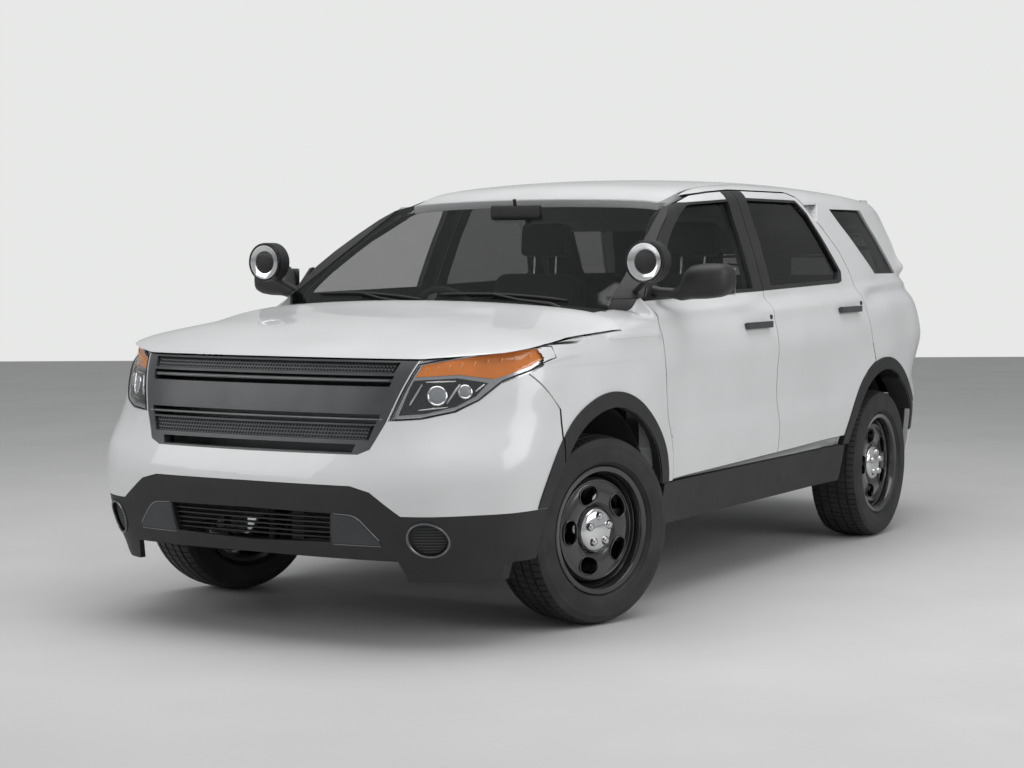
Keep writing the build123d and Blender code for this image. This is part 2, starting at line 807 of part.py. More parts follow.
def lower_fascia():
    part = nose_wall(0, skin)
    part &= face_block([(0, 596), (443, 595), (519, 575), (631, 493), (1100, 493), (1100, 312),
                        (880, 312), (860, 246), (620, 252), (596, 328), (0, 332)], -1860, -2700)
    part = cut_both(part, arch(front_axle_y))
    part -= face_block([(0, 500), (fascia_open, 496), (fascia_open - 14, 390), (0, 380)],
                       -2300, -2800)
    x, z, r = fog_blank
    for side in (1, -1):
        with BuildPart() as round_recess:
            with BuildSketch(Plane.XZ.offset(2250)):
                with Locations((side * x, z)):
                    Circle(r)
            extrude(amount=400)
        part -= nose_wall(-2, fog_recess) & round_recess.part
    fins = nose_wall(skin - 9, skin - 9 + fin_depth)
    slats = box(-fascia_open - 8, fascia_open + 8, -2800, -2200, fascia_fins[0],
                fascia_fins[0] + fin_wall)
    for low in fascia_fins[1:]:
        slats += box(-fascia_open - 8, fascia_open + 8, -2800, -2200, low, low + fin_wall)
    return part + (fins & slats)


def lamp_left(outer, inner):
    part = nose_wall(outer, inner) & face_block_left(lamp_face, -1890, -2700)
    return part - hood_zone(shut_gap)


def front_band(half, z0, z1):
    """Block across the nose between two heights, wider or narrower with height."""
    return face_block([(0, z1), (half, z1), (half - (z1 - z0) * frame_lean, z0), (0, z0)],
                      -1800, -2800)


def grille():
    """Frame with a broad middle bar, thin bars beside it and recessed mesh panels."""
    part = nose_wall(grille_inset, grille_back) & face_block(grille_face, -1900, -2700)
    part -= hood_zone(shut_gap)
    for half, z0, z1 in mesh_panels:
        band = front_band(half, z0, z1)
        part -= nose_wall(grille_inset - 2, mesh_inset) & band
        part -= nose_wall(mesh_inset + mesh_wall, grille_back + 2) & band
    for half, z0, z1 in grille_slots:
        part -= front_band(half, z0, z1)
    thin = [front_band(half, z0, z1) for half, z0, z1 in thin_bars]
    for band in thin:
        part -= nose_wall(grille_inset - 2, grille_inset + 6) & band
    return part


def screen_y(z):
    return screen_foot[0] + (z - screen_foot[1]) * screen_slope


def screen_half(z, back):
    """Half outline of the screen at a height; the pillar covers go on from its ends."""
    y = screen_y(z) + back
    w = screen_w(z)
    k = screen_wrap(z)
    half = [(0, y), (0.4 * w, y + 10 * k), (0.7 * w, y + 36 * k), (0.86 * w, y + 62 * k),
            (0.93 * w, y + 76 * k)]
    return [(-x, v) for x, v in half[:0:-1]] + half


def screen_wrap(z):
    """The screen is curved at its foot and nearly flat across at the roof."""
    return mix(1, 0.25, min(1, max(0, (z - 1208) / 432)))


def screen_w(z):
    return mix(862, 722, (z - 1208) / 432)


def under_hood(inset):
    """Everything below a depth under the hood's rear end and the cowl."""
    with BuildPart() as block:
        for y in hood_stations[4:]:
            with BuildSketch(station(y)):
                with BuildLine():
                    top = Spline(hood_section(y, inset))
                    Polyline(top @ 1, ((top @ 1).X, 900), ((top @ 0).X, 900), top @ 0)
                make_face()
        loft()
    return block.part


def windshield():
    glass = wall_loft([(Plane.XY.offset(z), screen_half(z, 0), screen_half(z, 11))
                       for z in (1178, 1215, 1300, 1400, 1500, 1600, 1670)])
    crown = roof_half(-447, 5)
    below = prism(Plane.XZ.offset(1500), [(-900, crown[0][1]), *crown, (900, crown[-1][1]),
                                          (900, 1100), (-900, 1100)], -1200)
    part = glass & below
    part -= under_hood(12 - seat) & box(-786, 786, -1945, -1000, 900, 1400)
    top = under_hood(-seat) & box(786, 1200, -1945, -1000, 900, 1400)
    return cut_both(part, top)


def door_edge(z):
    """Front edge of the front door at a height above the belt."""
    return through([(1222, -1062), (1362, -905), (1509, -668), (1618, -453)])(z)


def a_pillar_left():
    """Black cover between the screen and the front door."""
    with BuildPart() as cover:
        for z in (1235, 1300, 1362, 1430, 1509, 1570, 1612):
            w = 0.93 * screen_w(z) + seat
            y = screen_y(z) + 76 * screen_wrap(z)
            edge = door_edge(z) - shut_gap - 3
            x = skin_x(edge, z) - 1
            with BuildSketch(Plane.XY.offset(z)):
                with BuildLine():
                    Polyline((w, y), (x, edge), (x - 20, edge + 4), (w, y + 11), close=True)
                make_face()
        loft(ruled=True)
    return cover.part


def cowl():
    plan = [(0, -1302), (450, -1300), (760, -1302), (786, -1304), (786, -1100), (0, -1150)]
    return hood_wall(12, 40, 4) & plan_block(plan, 1000, 1400)


# ---------------------------------------------------------------- rear end
def liftgate():
    zone = gate_block() & box(-1000, 1000, 1900, 2700, 640, 1682)
    part = tail_wall(0, 34) & zone
    part += tail_wall(32, 80) & gate_block(-60) & box(-1000, 1000, 1900, 2700, 700, 1250)
    part -= face_block(gate_pane, 2700, 1900)
    part -= roof_wall(-10, rail_out + 6) & roof_zone(ditch + 6)
    y, z = gate_hinge
    for x in (gate_hinge_x, -gate_hinge_x):
        part -= box(x - 10.5, x + 10.5, y - 60, y + 80, z - 30, z + 20)
        for x0 in (x - 22, x + 11):
            part += box(x0, x0 + 11, y - 10, y + 10, z - 20, z + 8)
        part -= across(y, z, pin_radius + running, x - 23, x + 23)
    return part


def liftgate_glass():
    return tail_wall(8, 13) & face_block(gate_pane, 2700, 1900)


def rear_bumper():
    part = tail_wall(0, skin) & box(-1100, 1100, 1700, 2700, 300, 634)
    part = cut_both(part, arch(rear_axle_y, 0))
    return cut_both(part, side_block([(1500, 0), (1750, 0), (1750, 900), (1500, 900)]))


def tail_lamp_left():
    return (tail_wall(0, 55) & lamp_rear_block()) & box(0, 1200, 1950, 2700, 1000, 1300)


# ---------------------------------------------------------------- wheels and brakes
def turned(points, corner=0):
    """Solid turned about the wheel's axle: (distance from the wheel's middle, radius)."""
    with BuildPart() as part:
        with BuildSketch(Plane.XY):
            with BuildLine():
                Polyline(*points, close=True)
            make_face()
        revolve(axis=Axis.X)
    return part.part


def tyre():
    w = tyre_width / 2
    r = tyre_radius
    bead = rim_width / 2 - 9 - seat
    half = [(w - 12, rim_radius + 18), (w - 3, rim_radius + 40),
            (w, rim_radius + 68), (w - 4, r - 34), (w - 12, r - 14), (w - 24, r - 4), (w - 46, r)]
    foot = [(bead, rim_radius + seat), (bead, rim_radius + 17), (w - 12, rim_radius + 18)]
    other = [(-x, y) for x, y in reversed(half)]
    with BuildPart() as part:
        with BuildSketch(Plane.XY):
            with BuildLine():
                Polyline(*foot)
                Spline(half[:4], tangents=((0.8, 1), (-0.15, 1)))
                Spline(half[3:], tangents=((-0.15, 1), (-1, 0)))
                Line(half[-1], other[0])
                Spline(other[:4], tangents=((-1, 0), (-0.15, -1)))
                Spline(other[3:], tangents=((-0.15, -1), (0.8, -1)))
                Polyline(*[(-x, y) for x, y in reversed(foot)])
                Line((-bead, rim_radius + seat), (bead, rim_radius + seat))
            make_face()
        revolve(axis=Axis.X)
    return part.part


def wheel_disc():
    """Pressed steel wheel: drop-centre rim and a dished disc with rounded slots."""
    w = rim_width / 2
    rim = turned([(w, rim_radius + 12), (w - 6, rim_radius + 14), (w - 9, rim_radius),
                  (w - 38, rim_radius), (w - 52, rim_radius - 14), (-w + 70, rim_radius - 14),
                  (-w + 44, rim_radius), (-w + 9, rim_radius), (-w + 6, rim_radius + 14),
                  (-w, rim_radius + 12), (-w + 3, rim_radius - 9), (-w + 46, rim_radius - 9),
                  (-w + 72, rim_radius - 23), (w - 54, rim_radius - 23), (w - 40, rim_radius - 9),
                  (w - 3, rim_radius - 9)])
    face = disc_face
    disc = turned([(face - 26, hub_bore), (face - 26, 78), (face - 4, 104), (face, 130),
                   (face, 176), (face - 8, 196), (face - 34, rim_radius - 20),
                   (face - 44, rim_radius - 20), (face - 18, 186), (face - 9, 172),
                   (face - 9, 132), (face - 14, 110), (face - 34, 84), (face - 34, hub_bore)])
    part = rim + disc
    for k in range(slots):
        turn = 360 / slots * k
        with BuildPart() as cutter:
            with BuildSketch(Plane.YZ.offset(20)):
                with Locations((0, slot_ring)):
                    Trapezoid(74, 50, 102)
                fillet(vertices(), 14)
            extrude(amount=80)
        part -= Rot(turn, 0, 0) * cutter.part
    for k in range(5):
        part -= Rot(72 * k + 36, 0, 0) * (Pos(face - 30, 57.15, 0) * Rot(0, 90, 0)
                                          * Cylinder(7.2, 60))
    return part


def wheel_hub():
    """Bearing hub with studs' cap, drum of the flange and the brake rotor."""
    face = disc_face
    part = turned([(face + 16, 0), (face + 16, 26), (face + 8, 48), (face - 10, cap_radius),
                   (face - 26, cap_radius), (face - 26, hub_bore - 0.3), (face - 34, hub_bore - 0.3),
                   (face - 34, 75), (face - 50, 75), (face - 50, rotor_radius),
                   (face - 76, rotor_radius), (face - 76, 60), (face - 84, 60), (face - 84, 24),
                   (face - 140, 24), (face - 140, 0)])
    for k in range(5):
        bump = Rot(72 * k + 36, 0, 0) * (Pos(face - 6, 44, 0) * Sphere(12))
        part += bump & turned([(face - 20, 0), (face - 20, 61), (face + 20, 61), (face + 20, 0)])
    return part


def placed(part, side, y, steer=0.0):
    """Puts a wheel piece that faces +X on its axle."""
    piece = part if side > 0 else Rot(0, 0, 180) * part
    return Pos(side * half_track, y, tyre_radius) * Rot(0, 0, steer) * piece


def steered(part, side):
    """Turns a piece about its kingpin."""
    x = side * kingpin_x
    return Pos(x, front_axle_y, 0) * Rot(0, 0, parked_steer) * Pos(-x, -front_axle_y, 0) * part


def knuckle_left():
    """Upright with the bearing bore, the kingpin bores, the brake caliper and a steering arm."""
    inner = half_track + disc_face - 84 - 3
    with BuildPart() as part:
        with BuildSketch(Plane.YZ.offset(inner - 52)):
            with Locations((front_axle_y, tyre_radius)):
                Circle(62)
        extrude(amount=50)
    body = part.part
    body += box(inner - 50, inner - 12, front_axle_y - 30, front_axle_y + 30, 240, 500)
    arm = box(inner - 52, inner - 20, front_axle_y + 20, front_axle_y + 150, 300, 330)
    body += arm
    body -= across(front_axle_y, tyre_radius, 24.4, inner - 80, inner + 20)
    x = kingpin_x
    pad = box(x - 40, x + 14, front_axle_y - 26, front_axle_y + 26, 236 + running, 262)
    body += pad
    body -= upright(x, front_axle_y, 200, 280, 10.3)
    rotor = half_track + disc_face - 63
    jaw = box(rotor - 38, rotor + 24, front_axle_y + 90, front_axle_y + 182, 300, 426)
    jaw -= across(front_axle_y, tyre_radius, rotor_radius + 5, rotor - 18, rotor + 18)
    jaw += box(rotor - 38, rotor - 28, front_axle_y + 20, front_axle_y + 110, 330, 400)
    body += jaw
    body -= across(front_axle_y, tyre_radius, 24.4, inner - 80, inner + 200)
    return body


# ---------------------------------------------------------------- structure below
def front_suspension():
    beam = box(-430, 430, -1580, -1440, 190, 250)
    part = beam
    for side in (1, -1):
        leg = box(380, 440, -1640, -1380, 250, 402) if side > 0 else box(-440, -380, -1640, -1380,
                                                                        250, 402)
        part += leg
        a = (side * 400, front_axle_y, 214)
        b = (side * kingpin_x, front_axle_y, 222)
        part += rod(a, b, 14)
        part += upright(side * kingpin_x, front_axle_y, 208, 262, 10)
        part += upright(side * 640, front_axle_y, 216, 450, 16)
        part += upright(side * 640, front_axle_y, 440, arch_z + arch_radius - 0.1, 40)
    return part


def rear_suspension():
    part = box(-420, 420, 1290, 1410, 250, 310)
    for side in (1, -1):
        x = side * (half_track + disc_face - 140)
        face = side * (half_track + disc_face - 87)
        carrier = rod((x - side * 30, rear_axle_y, tyre_radius), (face, rear_axle_y, tyre_radius), 58)
        carrier -= rod((x - side * running, rear_axle_y, tyre_radius),
                       (face + side, rear_axle_y, tyre_radius), 24 + running)
        carrier += rod((side * 400, rear_axle_y, 280), (x - side * 15, rear_axle_y, 320), 18)
        carrier += rod((side * 400, rear_axle_y + 90, 290), (x - side * 15, rear_axle_y + 40, 340),
                       14)
        carrier += rod((side * 400, rear_axle_y - 90, 290), (x - side * 15, rear_axle_y - 40, 340),
                       14)
        carrier += rod((side * 500, rear_axle_y, 290), (side * 500, rear_axle_y, 470), 52)
        part += carrier
        part += box(min(side * 390, side * 420), max(side * 390, side * 420), 1250, 1460, 280, 470)
    return part


def front_frame():
    """Rails, radiator surround, bumper bar, latch beam and inner wheel arches."""
    part = box(380, 450, -2420, -1090, 402, 480) + box(-450, -380, -2420, -1090, 402, 480)
    bar = nose_wall(skin + seat, 60) & box(-800, 800, -2600, -2150, 520, 590)
    part += bar
    part += box(380, 450, -2440, -2380, 470, 560) + box(-450, -380, -2440, -2380, 470, 560)
    part += box(-620, 620, -2240, -2205, 930, 990)
    part += box(-620, 620, -2240, -2205, 470, 510)
    for s in (1, -1):
        x0, x1 = sorted((s * 560, s * 620))
        part += box(x0, x1, -2240, -2205, 470, 990)
        x0, x1 = sorted((s * 380, s * 450))
        part += box(x0, x1, -2240, -2205, 400, 510)
        house_x = sorted((s * 500, s * 900))
        shell = across(front_axle_y - 18, arch_z, arch_radius + 16, *house_x)
        shell -= across(front_axle_y - 18, arch_z, arch_radius + 4, house_x[0] - 1, house_x[1] + 1)
        disc = across(front_axle_y - 18, arch_z, arch_radius + 16, *sorted((s * 500, s * 512)))
        shell += disc
        shell = shell & box(-1000, 1000, -2100, -900, 402, 900)
        part += shell
        x0, x1 = sorted((s * 440, s * 505))
        part += box(x0, x1, -1800, -1300, 402, 470)
        x0, x1 = sorted((s * 600, s * 640))
        part += box(x0, x1, -2210, -1845, 930, 985)
    lip = fender_wall(skin + seat, 60) & side_block([(-1880, 968), (-1880, 1038), (-1640, 1075),
                                                    (-1136, 1085), (-1136, 1020), (-1640, 1000)])
    lip -= arch(front_axle_y, 16)
    part += lip
    part += flipped(lip)
    brace = box(600, 915, -1875, -1845, 960, 1000)
    part += brace
    part += flipped(brace)
    wall = box(-840, 840, -1166, -1132, 402, 1130) + box(-925, 925, -1166, -1132, 1020, 1080)
    for x0, x1 in ((-1000, -500), (500, 1000)):
        wall -= across(front_axle_y - 18, arch_z, arch_radius + 4, x0, x1)
    for x0, x1 in ((-480, -150), (150, 480)):
        wall += box(x0, x1, -1166, -1080, floor_z + floor_thick, 420)
    part += wall
    for post in hood_hinges():
        part += post
    return part


def floor_pan():
    part = box(-850, 850, -1090, 930, floor_z, floor_z + floor_thick)
    for x0, x1 in ((-1000, -500), (500, 1000)):
        part -= across(front_axle_y - 18, arch_z, arch_radius + 6, x0, x1)
    part += box(-150, 150, -1090, 930, floor_z + floor_thick - 1, 460)
    part += box(-840, 840, 900, 930, floor_z, 480)
    part += plan_block([(0, 900), (850, 900), (850, 1850), (640, 2300), (0, 2300)], 470, 494)
    for s in (1, -1):
        xs = sorted((s * 570, s * 828))
        shell = across(rear_axle_y - 2, arch_z, arch_radius + 16, *xs)
        shell -= across(rear_axle_y - 2, arch_z, arch_radius + 4, xs[0] - 1, xs[1] + 1)
        shell += across(rear_axle_y - 2, arch_z, arch_radius + 16, *sorted((s * 570, s * 584)))
        shell = shell & box(-1000, 1000, 800, 2000, 360, 900)
        tool = across(rear_axle_y - 2, arch_z, arch_radius + 4, *sorted((s * 584, s * 900)))
        part -= tool
        part += shell
    part += box(-640, 640, 2260, 2330, 420, 620)
    part += box(-420, 420, 2320, 2425, 480, 560)
    part += tail_wall(skin + seat, 70) & box(-500, 500, 2300, 2600, 480, 560)
    return part


# ---------------------------------------------------------------- cabin
def front_seats():
    pieces = []
    for s in (1, -1):
        x = s * 400
        cushion = prism(Plane.YZ.offset(x - 260), [(-330, 560), (-340, 690), (-300, 720), (150, 700),
                                                  (230, 600), (230, 560)], 520, 20)
        back = prism(Plane.YZ.offset(x - 250), [(120, 660), (300, 640), (420, 1330), (330, 1350),
                                               (270, 1300)], 500, 20)
        head = prism(Plane.YZ.offset(x - 130), [(335, 1390), (440, 1380), (450, 1560), (350, 1570)],
                     260, 25)
        posts = rod((x - 60, 385, 1300), (x - 60, 395, 1420), 7)
        posts += rod((x + 60, 385, 1300), (x + 60, 395, 1420), 7)
        base = box(x - 220, x + 220, -280, 180, floor_z + floor_thick, 575)
        pieces.append(cushion + back + head + posts + base)
    return Compound(children=pieces)


def rear_seat():
    part = prism(Plane.YZ.offset(-560), [(700, 500), (690, 690), (740, 720), (1160, 690),
                                         (1220, 600), (1220, 500)], 1120, 20)
    part += prism(Plane.YZ.offset(-540), [(1080, 640), (1230, 620), (1340, 1290), (1240, 1310)],
                  1080, 20)
    part += box(-540, 540, 760, 1200, floor_z + floor_thick + 150, 520) & box(
        -540, 540, 935, 1200, 400, 520)
    for x in (-380, 0, 380):
        part += prism(Plane.YZ.offset(x - 120), [(1255, 1270), (1335, 1270), (1350, 1430),
                                                (1270, 1440)], 240, 15)
    return part


wheel_place = (-400.0, -500.0, 1083.0)
wheel_tilt = math.radians(70.0)


def dashboard():
    part = prism(Plane.YZ.offset(-790), [(-1090, 900), (-1090, 1150), (-980, 1172), (-700, 1150),
                                         (-620, 1090), (-640, 960), (-760, 860), (-900, 840)],
                 1580, 30)
    part += prism(Plane.YZ.offset(-130), [(-900, 860), (-700, 960), (-600, 900), (-560, 640),
                                          (-200, 600), (-200, 460), (-900, 460)], 260)
    back = 17 + seat
    end = (-400, wheel_place[1] - back * math.sin(wheel_tilt), wheel_place[2] - back * math.cos(wheel_tilt))
    start = (-400, end[1] - 190 * math.sin(wheel_tilt), end[2] - 190 * math.cos(wheel_tilt))
    part += rod(start, end, 30)
    return part


def steering_wheel():
    where = Plane(origin=wheel_place, z_dir=(0, math.sin(wheel_tilt), math.cos(wheel_tilt)))
    with BuildPart() as rim:
        with BuildSketch(Plane.XZ):
            with Locations((182, 0)):
                Circle(15)
        revolve(axis=Axis.Z)
        Cylinder(70, 34)
        for a in (0, 180, 270):
            with Locations(Rot(0, 0, a) * Pos(110, 0, 0)):
                Box(150, 34, 14)
    return where.location * rim.part


def radiator():
    return box(-555, 555, -2240, -2205, 510, 930)


def engine():
    part = box(-260, 300, -1980, -1330, 500, 960)
    rail = 380 - seat
    part += box(-rail, -255, -1700, -1420, 410, 560) + box(295, rail, -1700, -1420, 410, 560)
    return part


def exhaust():
    part = rod((260, -1300, 255), (260, 940, 255), 32) + box(140, 380, 935, 1215, 190, 330)
    return part + box(250, 270, 1000, 1030, 320, 470)


# ---------------------------------------------------------------- trim
def arch_lip(axle, wall, y0, y1):
    """Black trim round a wheel arch on a stretch of the skin."""
    shift = -18 if axle == front_axle_y else -2
    ring = arch(axle, arch_trim) - arch(axle)
    ring = ring & box(300, 1200, axle + shift - 600, axle + shift + 600, 497, 1000)
    return (wall & ring) & box(300, 1200, y0, y1, 300, 1000)


def side_cladding_left():
    """Arch lips and the sill cover."""
    sill = side_wall((-trim_proud, skin - seat), (-trim_proud, skin - seat)) & side_block(
        [(-1060, 322), (-1060, 494), (860, 494), (860, 322)])
    sill -= arch(front_axle_y)
    sill -= arch(rear_axle_y)
    first = arch_lip(front_axle_y, nose_wall(-trim_proud, -seat), -2200, -1900)
    front = arch_lip(front_axle_y, fender_wall(-trim_proud, -seat), -1891, -960)
    side = side_wall((-trim_proud, -seat), (-trim_proud, -seat))
    rear = arch_lip(rear_axle_y, side, 800, 1950) - box(300, 1200, 1746, 1950, 300, 645)
    last = arch_lip(rear_axle_y, tail_wall(-trim_proud, -seat), 1752, 1950)
    last = last & box(300, 1200, 1700, 1950, 300, 639)
    return Compound(children=[sill, first, front, rear, last])


def off_skin(part):
    """What is left of a fitting outside the skin that carries it."""
    return part - side_wall((-seat, door_skin), (-seat, rail_out))


def mirror_left():
    shell = prism(Plane.XZ.offset(960), [(1000, 1225), (1175, 1235), (1185, 1345), (1130, 1372),
                                         (1020, 1365), (990, 1320)], -150, 18)
    x = skin_x(-925, 1250) - 15
    return off_skin(shell + rod((x, -925, 1250), (1010, -890, 1270), 18))


def handle_left(y0, y1, z):
    x = skin_x((y0 + y1) / 2, z)
    grip = box(x + 8, x + 24, y0, y1, z - 14, z + 14)
    for y in (y0 + 4, y1 - 34):
        grip += box(x - 20, x + 12, y, y + 30, z - 10, z + 10)
    return off_skin(grip)


def spotlight_left():
    lamp = Pos(935, -1120, 1380) * Rot(90, 0, -12) * Cylinder(85, 60)
    lamp += Pos(938, -1100, 1380) * Sphere(74)
    arm = rod((836, -1056, 1256), (925, -1110, 1310), 11) - a_pillar_left()
    return lamp + arm.solids().sort_by(Axis.X)[-1]


if __name__ == "__main__":
    left = front_door_left()
    save(left, "front_left_door")
    save(flipped(left), "front_right_door")
    left = rear_door_left()
    save(left, "rear_left_door")
    save(flipped(left), "rear_right_door")
    for name, points in (("front", front_pane), ("rear", rear_pane)):
        left = side_pane(points)
        save(left, f"{name}_left_door_glass")
        save(flipped(left), f"{name}_right_door_glass")
    side = body_side_left()
    corner = rear_corner_left()
    save(Compound(children=[side, flipped(side), corner, flipped(corner)]), "body_sides", 50000)
    save(roof_panel(), "roof_panel")
    save(both(ditch_left()), "roof_mouldings")
    save(hood(), "hood")
    save(both(fender_left()), "front_fenders")
    save(front_bumper(), "front_bumper")
    save(lower_fascia(), "lower_fascia")
    save(both(lamp_left(14, 60)), "headlamps")
    save(both(lamp_left(0, 4)), "headlamp_lenses")
    save(grille(), "grille")
    save(cowl(), "cowl")
    save(windshield(), "windshield")
    save(both(a_pillar_left()), "a_pillars")
    save(liftgate(), "liftgate")
    save(liftgate_glass(), "liftgate_glass")
    save(rear_bumper(), "rear_bumper")
    save(both(tail_lamp_left()), "tail_lamps")
    save(both(side_pane(quarter_pane)), "quarter_glass")
    save(both(side_cladding_left()), "side_cladding")
    save(mirror_left(), "left_mirror")
    save(flipped(mirror_left()), "right_mirror")
    for name, y0, y1, z in (("front", -265, -10, 1098), ("rear", 830, 1080, 1138)):
        left = handle_left(y0, y1, z)
        save(left, f"{name}_left_handle")
        save(flipped(left), f"{name}_right_handle")
    save(both(spotlight_left()), "spotlights")
    for axle, y, steer in (("front", front_axle_y, parked_steer), ("rear", rear_axle_y, 0)):
        for side, sign in (("left", 1), ("right", -1)):
            for piece, maker in (("tyre", tyre), ("wheel", wheel_disc), ("hub", wheel_hub)):
                part = placed(maker(), sign, y)
                if steer:
                    part = steered(part, sign)
                save(part, f"{axle}_{side}_{piece}")
    left = knuckle_left()
    save(steered(left, 1), "front_left_knuckle")
    save(steered(flipped(left), -1), "front_right_knuckle")
    save(front_suspension(), "front_suspension")
    save(rear_suspension(), "rear_suspension")
    save(front_frame(), "front_frame")
    save(floor_pan(), "floor_pan")
    save(front_seats(), "front_seats")
    save(rear_seat(), "rear_seat")
    save(dashboard(), "dashboard")
    save(steering_wheel(), "steering_wheel")
    save(radiator(), "radiator")
    save(engine(), "engine")
    save(exhaust(), "exhaust")
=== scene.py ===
"""Visual model of a police sport utility vehicle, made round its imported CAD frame.

Metres, in the CAD's own frame: the front faces -Y, +X is the car's left and +Z is up."""

import json
import math

import bpy
import bmesh
from mathutils import Matrix, Vector
from mathutils.bvhtree import BVHTree


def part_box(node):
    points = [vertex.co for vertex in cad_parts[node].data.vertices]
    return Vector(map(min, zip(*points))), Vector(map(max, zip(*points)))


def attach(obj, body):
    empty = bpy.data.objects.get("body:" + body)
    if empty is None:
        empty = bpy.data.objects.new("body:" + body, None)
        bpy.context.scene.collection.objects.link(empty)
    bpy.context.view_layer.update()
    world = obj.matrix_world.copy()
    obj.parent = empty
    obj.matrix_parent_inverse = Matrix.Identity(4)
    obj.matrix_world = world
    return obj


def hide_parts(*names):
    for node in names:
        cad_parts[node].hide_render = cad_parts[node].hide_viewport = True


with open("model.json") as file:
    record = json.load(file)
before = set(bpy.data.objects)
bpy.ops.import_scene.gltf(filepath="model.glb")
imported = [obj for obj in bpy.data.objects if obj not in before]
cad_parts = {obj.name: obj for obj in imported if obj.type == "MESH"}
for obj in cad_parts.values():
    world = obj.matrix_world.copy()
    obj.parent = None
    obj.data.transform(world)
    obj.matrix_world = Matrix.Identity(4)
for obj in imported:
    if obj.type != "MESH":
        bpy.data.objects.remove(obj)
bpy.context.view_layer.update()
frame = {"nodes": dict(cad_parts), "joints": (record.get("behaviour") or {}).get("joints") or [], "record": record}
nodes = frame["nodes"]
SIDES = ((1, "left"), (-1, "right"))
ROWS = ("front", "rear")
UP = Vector((0, 0, 1))
AHEAD = 3.5
BESIDE = 1.6

# ---------------------------------------------------------------- materials


class Nodes:
    """A node material being built."""

    sockets = {"rough": "Roughness", "metal": "Metallic", "coat": "Coat Weight", "alpha": "Alpha",
               "coat_rough": "Coat Roughness", "spec": "Specular IOR Level", "sheen": "Sheen Weight"}

    def __init__(self, name, **values):
        self.mat = bpy.data.materials.new(name)
        self.mat.use_nodes = True
        self.tree = self.mat.node_tree
        self.bsdf = self.tree.nodes["Principled BSDF"]
        self.coord = self.node("ShaderNodeTexCoord")
        for key, value in values.items():
            self.bsdf.inputs[self.sockets[key]].default_value = value

    def node(self, kind, **values):
        made = self.tree.nodes.new(kind)
        for key, value in values.items():
            if key in made.inputs:
                made.inputs[key].default_value = value
            else:
                setattr(made, key, value)
        return made

    def link(self, a, b):
        self.tree.links.new(a, b)

    def noise(self, scale, detail):
        made = self.node("ShaderNodeTexNoise", Scale=scale, Detail=detail)
        self.link(self.coord.outputs["Object"], made.inputs["Vector"])
        return made.outputs["Fac"]

    def vary_color(self, a, b, scale):
        """Colour that wanders between two."""
        ramp = self.node("ShaderNodeValToRGB")
        for element, place, color in zip(ramp.color_ramp.elements, (0.3, 0.7), (a, b)):
            element.position = place
            element.color = (*color, 1)
        self.link(self.noise(scale, 3.0), ramp.inputs["Fac"])
        self.link(ramp.outputs["Color"], self.bsdf.inputs["Base Color"])

    def vary_rough(self, low, high, scale):
        span = self.node("ShaderNodeMapRange")
        span.inputs["To Min"].default_value = low
        span.inputs["To Max"].default_value = high
        self.link(self.noise(scale, 3.0), span.inputs["Value"])
        self.link(span.outputs["Result"], self.bsdf.inputs["Roughness"])

    def bump(self, source, strength, distance):
        """Bump, on top of any bump that is there."""
        made = self.node("ShaderNodeBump")
        made.inputs["Strength"].default_value = strength
        made.inputs["Distance"].default_value = distance
        normal = self.bsdf.inputs["Normal"]
        if normal.links:
            self.link(normal.links[0].from_socket, made.inputs["Normal"])
        self.link(source, made.inputs["Height"])
        self.link(made.outputs["Normal"], normal)


def times(color, factor):
    return tuple(min(1, c * factor) for c in color)


def white_paint():
    n = Nodes("white_paint", rough=0.32, coat=0.7, coat_rough=0.04, spec=0.45)
    n.vary_color((0.66, 0.665, 0.67), (0.70, 0.705, 0.71), 3.0)
    n.vary_rough(0.28, 0.36, 6.0)
    n.bump(n.noise(900, 1.0), 0.03, 0.0003)
    return n.mat


def plastic(name, color, rough, grain=0.35, scale=1400):
    n = Nodes(name, rough=rough, spec=0.4)
    n.vary_color(color, times(color, 1.35), 9.0)
    n.vary_rough(rough - 0.05, rough + 0.06, 14)
    n.bump(n.noise(scale, 2.0), grain, 0.0004)
    return n.mat


def glass(name, color, alpha):
    n = Nodes(name, rough=0.02, alpha=alpha, spec=0.5)
    n.vary_color(color, times(color, 1.15), 2.0)
    return n.mat


def metal(name, color, rough, spread=0.08):
    n = Nodes(name, metal=1.0)
    n.vary_color(times(color, 0.94), color, 12)
    n.vary_rough(rough, rough + spread, 60)
    return n.mat


def painted(name, color, rough, coat=0.0):
    n = Nodes(name, rough=rough, coat=coat, coat_rough=0.1)
    n.vary_color(color, times(color, 1.5), 7)
    n.vary_rough(rough - 0.05, rough + 0.07, 18)
    n.bump(n.noise(350, 2.0), 0.08, 0.0004)
    return n.mat


def rubber(name):
    n = Nodes(name, rough=0.62, spec=0.35)
    n.vary_color((0.020, 0.020, 0.021), (0.034, 0.034, 0.035), 11)
    n.vary_rough(0.55, 0.72, 25)
    n.bump(n.noise(700, 3.0), 0.3, 0.0004)
    return n.mat


def cloth(name, a, b, weave=900):
    n = Nodes(name, rough=0.9, spec=0.2, sheen=0.3)
    n.vary_color(a, b, 40)
    for direction in ("X", "Z"):
        wave = n.node("ShaderNodeTexWave", Scale=weave, bands_direction=direction)
        n.link(n.coord.outputs["Object"], wave.inputs["Vector"])
        n.bump(wave.outputs["Fac"], 0.35, 0.0005)
    return n.mat


def lens(name, color, alpha=1.0):
    n = Nodes(name, rough=0.05, alpha=alpha, coat=1.0, coat_rough=0.02, spec=0.6)
    n.vary_color(color, times(color, 1.2), 8)
    return n.mat


